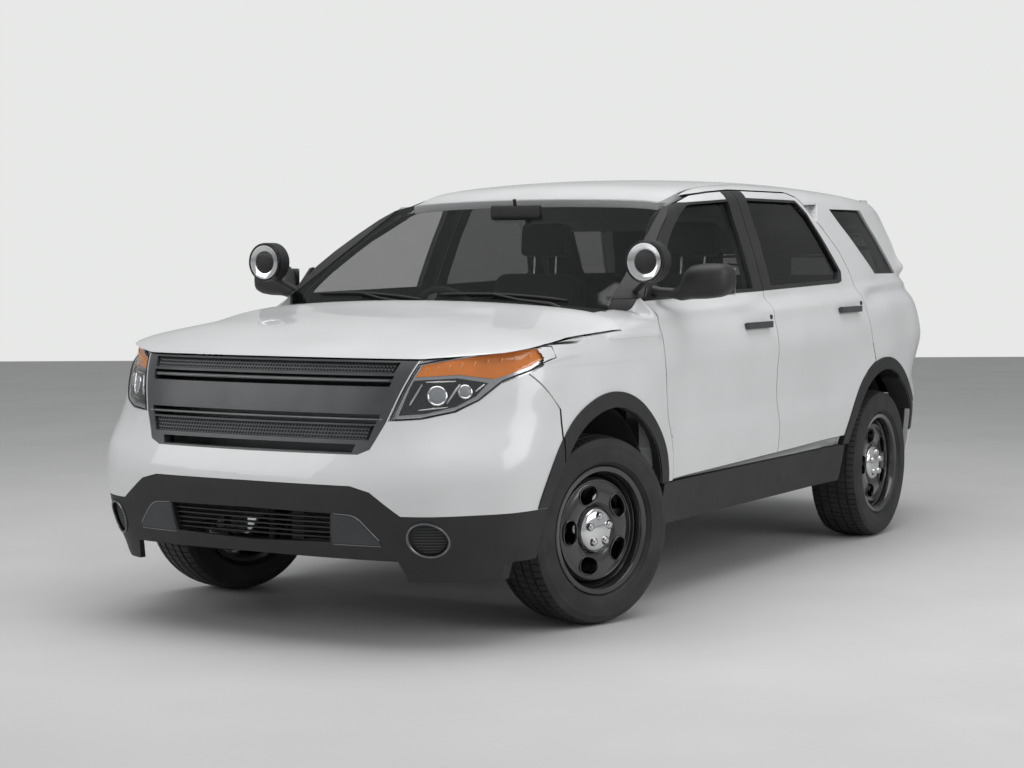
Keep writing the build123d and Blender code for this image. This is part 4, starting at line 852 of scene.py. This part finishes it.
def mirror_shells():
    """Door mirrors: rounded shell, arm, and the black corner piece at the window."""
    around, power, back = 28, 0.62, -0.816
    sections = ((0.955, -0.930, 1.250, 0.022, 0.020), (0.985, -0.918, 1.256, 0.038, 0.034),
                (1.005, -0.900, 1.284, 0.062, 0.058), (1.030, -0.892, 1.296, 0.072, 0.068),
                (1.080, -0.888, 1.300, 0.074, 0.071), (1.130, -0.884, 1.303, 0.071, 0.068),
                (1.162, -0.878, 1.306, 0.062, 0.060), (1.178, -0.870, 1.308, 0.045, 0.045),
                (1.1835, -0.862, 1.309, 0.020, 0.022))
    shell = [(x, min(y + depth * squarish(math.cos(a), power), back),
              z + height * squarish(math.sin(a), power))
             for x, y, z, depth, height in sections for a in turns(around)]
    last = (len(sections) - 1) * around
    ends = [tuple(range(around)), tuple(last + k for k in reversed(range(around)))]
    outline = [(-1.052, 1.238), (-0.925, 1.246), (-0.905, 1.262), (-0.905, 1.356), (-0.925, 1.352)]
    corner = [(side_x("front_left_door", min(y, -0.94), z, 0.86) + out, y, z)
              for out in (0.004, -0.010) for y, z in outline]
    arm = tube([(0.868, -0.955, 1.262), (0.90, -0.950, 1.256), (0.96, -0.930, 1.252)],
               [0.024, 0.021, 0.021], 16)
    part = joined((shell, quads(len(sections), around, wrap_columns=True) + ends),
                  (corner, prism(len(outline))), arm)
    for shape, name in ((part, "left"), (flipped(part), "right")):
        obj = build(f"{name}_mirror_shell", shape, mirror_black, f"front_{name}_door", 45)
        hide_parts(f"{name}_mirror")


def mirror_glasses():
    inner, outer, y, thick = 1.004, 1.168, -0.8150, 0.006
    for side, name in SIDES:
        x0, x1 = sorted((side * inner, side * outer))
        build(f"{name}_mirror_glass", slab((x0, y, 1.243), (x1, y + thick, 1.350), 0.003), silver,
              f"front_{name}_door")


def key_locks():
    """Round locks by the handles, as deep in each door as the ray from the left meets it."""
    lock = [(0.006, 0.0), (0.006, 0.008), (0.004, 0.0105), (-0.002, 0.011)]
    for side, name in SIDES:
        for row, y, z in (("front", 0.034, 1.128), ("rear", 1.132, 1.163)):
            door = f"{row}_{name}_door"
            x = side * abs(side_x(door, y, z))
            build(f"{row}_{name}_key_lock", dish((x, y, z), (side, 0, 0), lock, 24), pillar_black,
                  door)

# ---------------------------------------------------------------- cabin


def cabin_lining():
    """Dark trim on the inner faces of the doors, the body sides, the roof and the tailgate."""
    for side, name in SIDES:
        inward = (-side, 0, -0.3)
        for row in ROWS:
            door = f"{row}_{name}_door"
            skin(f"{door}_trim", door, inward, cabin_dark, door)
        skin(f"{name}_side_trim", "body_sides", inward, cabin_dark, cuts=beyond(side, 0.3, 0.36))
    skin("roof_lining", "roof_panel", (0, 0, -1), cabin_dark, steep=0.3)
    skin("tailgate_trim", "liftgate", (0, -1, -0.2), cabin_dark, "liftgate")


def inner_mirror():
    build("inner_mirror", slab((-0.125, -0.585, 1.560), (0.125, -0.555, 1.625), 0.011), wiper_black)
    build("inner_mirror_arm", tube([(0, -0.575, 1.62), (0, -0.585, 1.65)], 0.008), wiper_black)
    build("inner_mirror_glass", slab((-0.117, -0.5555, 1.568), (0.117, -0.5535, 1.617), 0.0008), silver)


def cushion(name, mid, size, turn, crown=0.018, seams=()):
    """Stuffed block: crowned faces, sides that pull in, with sewn channels across."""
    around, power, steps = 64, 0.22, 9
    channel, channel_width = 0.010, 0.05
    hx, hy, hz = (s / 2 for s in size)
    rings = []
    for w in (-1, -0.82, -0.45, 0, 0.45, 0.82, 1):
        pull = 1 - 0.05 * (1 - w * w) if abs(w) < 1 else 0.93
        if abs(w) >= 0.82:
            pull -= 0.02
        rings.append([(hx * pull * squarish(math.cos(a), power),
                       hy * pull * squarish(math.sin(a), power), hz * w) for a in turns(around)])
    verts = [p for line in rings for p in line]
    faces = quads(len(rings), around, wrap_columns=True)
    for sign, base in ((1, len(rings) - 1), (-1, 0)):
        last = [base * around + k for k in range(around)]
        for t in (1 - step / steps for step in range(1, steps)):
            new = list(range(len(verts), len(verts) + around))
            for x, y, z in ((x * t, y * t, z) for x, y, z in rings[base]):
                dome = crown * (1 - (x / hx) ** 2) * (1 - (y / hy) ** 2)
                for seam in seams:
                    dome -= channel * math.exp(-((y / hy - seam) / channel_width) ** 2)
                verts.append((x, y, z + sign * dome))
            for k in range(around):
                m = (k + 1) % around
                faces.append((last[k], last[m], new[m], new[k])[::sign])
            last = new
        faces.append(tuple(last[::sign]))
    place = Matrix.Translation(mid) @ Matrix.Rotation(turn, 4, "X")
    obj = build(name, moved((verts, faces), place), seat_mat, angle=50)
    mod = obj.modifiers.new("round", "SUBSURF")
    mod.levels = mod.render_levels = 1
    return obj


def seats():
    for side, name in SIDES:
        x = side * 0.40
        base = cushion(f"{name}_seat_base", (x, -0.06, 0.640), (0.50, 0.54, 0.13), 0.03,
                       seams=(-0.35, 0.25))
        cushion(f"{name}_seat_back", (x, 0.285, 0.995), (0.48, 0.66, 0.13), 1.40,
                seams=(-0.4, 0.0, 0.4))
        cushion(f"{name}_head_rest", (x, 0.392, 1.475), (0.25, 0.165, 0.085), 1.45, 0.01)
        for dx, post in ((-0.06, "a"), (0.06, "b")):
            build(f"{name}_head_post_{post}",
                  tube([(x + dx, 0.375, 1.28), (x + dx, 0.388, 1.42)], 0.006, 12), chrome)
        build(f"{name}_seat_stand", slab((x - 0.21, -0.27, 0.346), (x + 0.21, 0.17, 0.575), 0.02), trim)
        if name == "left":
            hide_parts("front_seats")
    bench = cushion("rear_bench", (0, 0.95, 0.625), (1.10, 0.48, 0.13), 0.03, seams=(-0.3, 0.3))
    cushion("rear_back", (0, 1.215, 0.965), (1.06, 0.62, 0.11), 1.40, seams=(-0.4, 0.0, 0.4))
    for k, x in enumerate((-0.38, 0, 0.38)):
        cushion(f"rear_head_rest_{k}", (x, 1.303, 1.352), (0.23, 0.145, 0.07), 1.48, 0.008)
    build("rear_bench_stand", slab((-0.54, 0.94, 0.500), (0.54, 1.19, 0.560), 0.01), trim)
    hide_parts("rear_seat")


# ---------------------------------------------------------------- wheels

FIFTHS = turns(5, math.pi / 2)


def tyre_part():
    """Tyre with grooves round it, cut blocks on the shoulders and lines on its walls.

    Its profile holds (across, radius, how deep the cuts across it are)."""
    radius, pitches, edge, groove, lean = 0.363, 76, 0.112, 0.0075, 0.22
    shoulder_cut, inner_cut = 0.006, 0.0035
    shares = (0.0, 0.015, 0.13, 0.145, 0.56, 0.99)
    ribs = ((-edge, -0.076), (-0.066, -0.030), (-0.021, 0.021), (0.030, 0.066), (0.076, edge))

    def crown(s):
        return radius - 0.013 * (abs(s) / edge) ** 4

    def rib_edge(s, inward, cut):
        """Foot and corner of a rib, at a groove or at the tyre's shoulder."""
        if abs(s) == edge:
            return (s, crown(s), 0), (s + 0.004 * inward, crown(s + 0.004 * inward), cut)
        return (s, crown(s) - groove, 0), (s + 0.0005 * inward, crown(s), cut)

    wall = [(-0.086, 0.243, 0), (-0.104, 0.249, 0), (-0.1165, 0.262, 0), (-0.1195, 0.2625, 0),
            (-0.1215, 0.285, 0), (-0.1222, 0.303, 0), (-0.1190, 0.3225, 0), (-0.1196, 0.325, 0),
            (-0.1150, 0.342, 0)]
    profile = list(wall)
    for a, b in ribs:
        cut = shoulder_cut if edge in (-a, b) else inner_cut
        mid = (a + b) / 2
        profile += [*rib_edge(a, 1, cut), (mid, crown(mid), cut), *reversed(rib_edge(b, -1, cut))]
    profile += [(-s, r, cut) for s, r, cut in reversed(wall)]
    verts = []
    for start in turns(pitches):
        for share in shares:
            low = 0.01 < share < 0.14
            for s, r, cut in profile:
                a = start + 2 * math.pi / pitches * share + (lean * s if cut else 0)
                r -= cut if low else 0
                verts.append((s, r * math.cos(a), r * math.sin(a)))
    return verts, quads(pitches * len(shares), len(profile), wrap_rows=True)


def wheel_part():
    """Pressed steel wheel: rim with two lips, dished disc, five rounded windows."""
    rim = [(0.108, 0.243), (0.106, 0.246), (0.101, 0.245), (0.099, 0.232), (0.092, 0.227),
           (0.070, 0.226), (0.056, 0.216), (0.030, 0.213), (-0.030, 0.213), (-0.064, 0.226),
           (-0.099, 0.231), (-0.102, 0.245), (-0.108, 0.243), (-0.104, 0.222), (-0.060, 0.218),
           (-0.030, 0.205), (0.030, 0.205), (0.050, 0.208), (0.066, 0.219), (0.094, 0.220),
           (0.104, 0.226)]
    disc = [(0.052, 0.030), (0.052, 0.074), (0.062, 0.092), (0.074, 0.104), (0.078, 0.122),
            (0.078, 0.150), (0.075, 0.172), (0.070, 0.184), (0.0705, 0.1885), (0.066, 0.1935),
            (0.048, 0.2045), (0.034, 0.2065), (0.032, 0.203), (0.046, 0.198), (0.060, 0.190),
            (0.064, 0.180), (0.069, 0.166), (0.071, 0.150), (0.071, 0.122), (0.067, 0.108),
            (0.055, 0.097), (0.045, 0.078), (0.045, 0.030)]
    half, foot, sag = 0.046, 0.128, 0.020
    window = [(-half * math.cos(t), foot - sag * math.sin(t))
              for t in (math.pi * k / 9 for k in range(10))]
    window += [(half, 0.140), (0.043, 0.160), (0.032, 0.171), (0.0, 0.1755), (-0.032, 0.171),
               (-0.043, 0.160), (-half, 0.140)]
    across = Matrix(((0, 0, 1, 0.12), (1, 0, 0, 0), (0, 1, 0, 0), (0, 0, 0, 1)))
    cutters = [plate(window, 0.12, Matrix.Rotation(a, 4, "X") @ across) for a in FIFTHS]
    objects = []
    for part in (lathe(disc, 160, True), joined(*cutters)):
        bm, mesh = bmesh_of(part), bpy.data.meshes.new("part")
        if not objects:
            bmesh.ops.recalc_face_normals(bm, faces=bm.faces)
        bm.to_mesh(mesh)
        bm.free()
        objects.append(bpy.data.objects.new("part", mesh))
        bpy.context.scene.collection.objects.link(objects[-1])
    mod = objects[0].modifiers.new("cut", "BOOLEAN")
    mod.operation, mod.object, mod.solver = "DIFFERENCE", objects[1], "EXACT"
    bpy.context.view_layer.update()
    seen = objects[0].evaluated_get(bpy.context.evaluated_depsgraph_get())
    mesh = bpy.data.meshes.new_from_object(seen)
    pressed = [v.co.copy() for v in mesh.vertices], [tuple(p.vertices) for p in mesh.polygons]
    for obj in objects:
        bpy.data.objects.remove(obj)
    return joined(lathe(rim, 120, True), pressed)


def cap_part():
    """Bright centre cap with five bumps over the wheel nuts."""
    dome = [(0.098, 0.0), (0.0975, 0.020), (0.095, 0.036), (0.092, 0.050), (0.089, 0.068),
            (0.081, 0.082), (0.073, 0.0865), (0.064, 0.087)]
    nut = [(0.0165, 0.0), (0.0165, 0.0060), (0.0120, 0.0065), (0.0120, 0.0105), (0.0155, 0.0125),
           (0.0120, 0.0150), (0.002, 0.0185), (-0.004, 0.019)]
    circle = 0.052
    return joined(lathe(dome, 96), *(
        moved(lathe(nut, 24), Matrix.Translation((0.0865, circle * math.cos(a), circle * math.sin(a))))
        for a in FIFTHS))


def lips_part():
    """Rolled edges of the wheel's windows and the raised ring outside them."""
    edge = [(0.048 * squarish(math.cos(a), 0.75), 0.1415 + 0.0345 * squarish(math.sin(a), 0.85))
            for a in turns(40)]
    lip = tube([(0.0785 if v < 0.165 else 0.0760, u, v) for u, v in edge], 0.0030, 8, True)
    radius = 0.190
    band = [(0.0705, radius * math.cos(a), radius * math.sin(a)) for a in turns(96)]
    return joined(tube(band, 0.0032, 8, True), *(moved(lip, Matrix.Rotation(a, 4, "X")) for a in FIFTHS))


def wheels():
    """The same wheel at each corner, turned to its spin axis, which the steering has turned."""
    parts = (("tread", tyre_part(), tyre_mat, 28, "tyre"),
             ("steel", wheel_part(), steel_black, 32, "wheel"),
             ("lips", lips_part(), steel_black, 60, None),
             ("cap", cap_part(), chrome, 40, None))
    spins = {j["name"]: Vector(j["axis"]).normalized() for j in frame["joints"]}
    for row in ROWS:
        for side, name in SIDES:
            wheel = f"{row}_{name}"
            lo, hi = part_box(f"{wheel}_tyre")
            axis = spins[f"{wheel}_spin"]
            axis = -axis if axis.x * side < 0 else axis
            turn = Matrix((axis, UP.cross(axis).normalized(), UP)).transposed().to_4x4()
            place = Matrix.Translation((Vector(lo) + Vector(hi)) / 2) @ turn
            for kind, part, mat, angle, node in parts:
                obj = build(f"{wheel}_{kind}", moved(part, place), mat, f"{wheel}_wheel", angle)
                if node:
                    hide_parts(f"{wheel}_{node}")


# ---------------------------------------------------------------- rear


def tail_lamps():
    """Bright lines across the tail lamps."""
    lo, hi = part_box("tail_lamps")
    for side, name in SIDES:
        lines = []
        for z in (lo[2] + (hi[2] - lo[2]) * (0.14 + 0.18 * k) for k in range(5)):
            hits = [probe("tail_lamps", (side * (0.70 + 0.022 * t), AHEAD, z), (0, -1, 0))
                    for t in range(13)]
            line = [spot + normal * 0.0003 for spot, normal in hits if spot and normal.y > 0.15]
            if len(line) > 3:
                lines.append(tube(line, 0.0022, 6))
        build(f"{name}_tail_lines", joined(*lines), red_bright)


def tailgate():
    """Handle bar, bare plate place, wiper and high lamp on the tailgate."""
    bar = [(x, back_y("liftgate", x, 1.05) + 0.004, 1.052) for x in (k * 0.058 for k in range(-8, 9))]
    sizes = [0.004] + [0.019] * (len(bar) - 2) + [0.004]
    build("tailgate_bar", tube(bar, sizes, 12), pillar_black, "liftgate")
    skin("plate_place", "liftgate", (0, 1, 0), fascia_mat, "liftgate", 0.0015,
         rectangle(-0.18, 0.86, 0.18, 1.02), (0, 2), 0.3, deep=0.002)
    head = [(0.003, 0), (0.003, 0.004), (0.0015, 0.006), (-0.001, 0.0062)]
    screws = [dish((x, back_y("liftgate", x, 0.99) + 0.0012, 0.99), (0, 1, 0), head, 16)
              for x in (-0.13, 0.13)]
    build("plate_screws", joined(*screws), chrome, "liftgate")
    base = Vector((0.0, back_y("liftgate_glass", 0, 1.315) + 0.008, 1.30))
    tip = Vector((-0.32, back_y("liftgate_glass", -0.32, 1.345) + 0.007, 1.345))
    arm = [base, base.lerp(tip, 0.5) + Vector((0, 0.006, 0.004)), tip]
    pivot = [base + Vector((0, 0.004, 0)), base + Vector((0, -0.012, -0.002))]
    build("rear_wiper", joined(tube(arm, [0.010, 0.007, 0.005], 8), tube(pivot, 0.02, 16)),
          wiper_black, "liftgate")
    skin("high_lamp", "liftgate", (0, 1, 0), red_lens, "liftgate", 0.0015,
         [(-0.20, 1.640), (0.20, 1.640), (0.19, 1.662), (-0.19, 1.662)], (0, 2), 0.2, deep=0.002)


def bumper_pad():
    """Step pad on the rear bumper, and its reflectors."""
    _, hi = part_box("rear_bumper")
    skin("bumper_step", "rear_bumper", UP, fascia_mat, out=0.0015,
         outline=rectangle(-0.55, hi[1] - 0.12, 0.55, hi[1] - 0.02), axes=(0, 1), steep=0.6,
         cuts=((UP, hi[2] - 0.05),), deep=0.002)
    for side, name in SIDES:
        x0, x1 = sorted((side * 0.60, side * 0.70))
        skin(f"{name}_bumper_reflector", "rear_bumper", (0, 1, 0), red_lens, out=0.0015,
             outline=rectangle(x0, 0.485, x1, 0.520), axes=(0, 2), steep=0.2, deep=0.002)


for make in (panels, arch_liners_and_painted_shade, grille, headlamp, fascia, spotlight, wipers, window_covers,
             pillar_gaps, mirror_shells, mirror_glasses, key_locks, cabin_lining, inner_mirror, seats,
             wheels, tail_lamps, tailgate, bumper_pad):
    make()

# ---------------------------------------------------------------- studio

stand = Vector((4.714, -8.5114, 1.425))
backdrop_color = (0.80, 0.81, 0.80, 1)


def camera():
    """The photograph's camera."""
    azimuth, elevation, roll = (math.radians(a) for a in (30.7938, 3.9175, -0.262))
    back = Vector((math.sin(azimuth) * math.cos(elevation), -math.cos(azimuth) * math.cos(elevation),
                   math.sin(elevation)))
    right = UP.cross(back).normalized()
    up = back.cross(right)
    axes = (right * math.cos(roll) + up * math.sin(roll),
            up * math.cos(roll) - right * math.sin(roll), back)
    data = bpy.data.cameras.new("camera")
    data.lens = 73.62
    data.sensor_width = 36.0
    data.shift_x = -0.0011
    data.shift_y = 0.0100
    obj = bpy.data.objects.new("camera", data)
    obj.matrix_world = Matrix.Translation(stand) @ Matrix(axes).transposed().to_4x4()
    bpy.context.scene.collection.objects.link(obj)
    bpy.context.scene.camera = obj


def area_light(name, place, aim, size, power):
    data = bpy.data.lights.new(name, "AREA")
    data.shape = "RECTANGLE"
    data.size, data.size_y = size
    data.energy = power
    obj = bpy.data.objects.new(name, data)
    obj.location = place
    obj.rotation_euler = (Vector(aim) - Vector(place)).to_track_quat("-Z", "Y").to_euler()
    bpy.context.scene.collection.objects.link(obj)


def stage(name, corners, mat):
    mesh = bpy.data.meshes.new(name)
    mesh.from_pydata(corners, [], [(0, 1, 2, 3)])
    mesh.materials.append(mat)
    obj = bpy.data.objects.new(name, mesh)
    bpy.context.scene.collection.objects.link(obj)


def mixed(tree, fac, first, second):
    mixer = tree.nodes.new("ShaderNodeMixShader")
    for output, socket in zip((fac, first, second), mixer.inputs):
        tree.links.new(output, socket)
    return mixer.outputs["Shader"]


def wall_material():
    """Plain pale colour for the camera, grey for other rays, and clear from behind."""
    n = Nodes("wall", rough=0.9, spec=0.1)
    n.vary_color((0.74, 0.745, 0.74), (0.78, 0.785, 0.78), 0.15)
    plain = n.node("ShaderNodeEmission", Color=backdrop_color)
    ray, side = n.node("ShaderNodeLightPath"), n.node("ShaderNodeNewGeometry")
    seen = mixed(n.tree, ray.outputs["Is Camera Ray"], n.bsdf.outputs["BSDF"],
                 plain.outputs["Emission"])
    one_way = mixed(n.tree, side.outputs["Backfacing"], seen,
                    n.node("ShaderNodeBsdfTransparent").outputs["BSDF"])
    n.link(one_way, n.tree.nodes["Material Output"].inputs["Surface"])
    return n.mat


def world_light():
    """Soft light from all round, with the backdrop's colour for the camera."""
    world = bpy.data.worlds.new("world")
    bpy.context.scene.world = world
    world.use_nodes = True
    tree = world.node_tree
    light, plain = tree.nodes["Background"], tree.nodes.new("ShaderNodeBackground")
    for node, color, strength in ((light, (0.86, 0.87, 0.88, 1), 0.55), (plain, backdrop_color, 1.0)):
        node.inputs["Color"].default_value = color
        node.inputs["Strength"].default_value = strength
    ray = tree.nodes.new("ShaderNodeLightPath")
    seen = mixed(tree, ray.outputs["Is Camera Ray"], light.outputs["Background"],
                 plain.outputs["Background"])
    tree.links.new(seen, tree.nodes["World Output"].inputs["Surface"])


def studio():
    reach, distance, half, height = 60, 27.6, 45, 30
    floor = Nodes("floor", rough=0.5, spec=0.2)
    floor.vary_color((0.56, 0.56, 0.555), (0.60, 0.60, 0.595), 1.2)
    stage("floor", [(x, y, 0) for x, y in rectangle(-reach, -reach, reach, reach)], floor.mat)
    heading = math.radians(30.79)
    far = Vector((-math.sin(heading), math.cos(heading), 0))
    wide = Vector((far.y, -far.x, 0)) * half
    base = Vector((stand.x, stand.y, 0)) + far * distance
    top = base + UP * height
    stage("wall", [base - wide, base + wide, top + wide, top - wide], wall_material())
    world_light()
    area_light("top", (0.5, -1.0, 6.0), (0, 0, 0.5), (7.0, 7.0), 310)
    area_light("side", (7.0, -1.0, 3.2), (0, 0, 0.8), (5.0, 3.0), 120)
    area_light("front", (-4.5, -7.0, 3.5), (0, -1, 0.8), (4.0, 3.0), 85)


camera()
studio()
bpy.context.scene.view_settings.view_transform = "Standard"
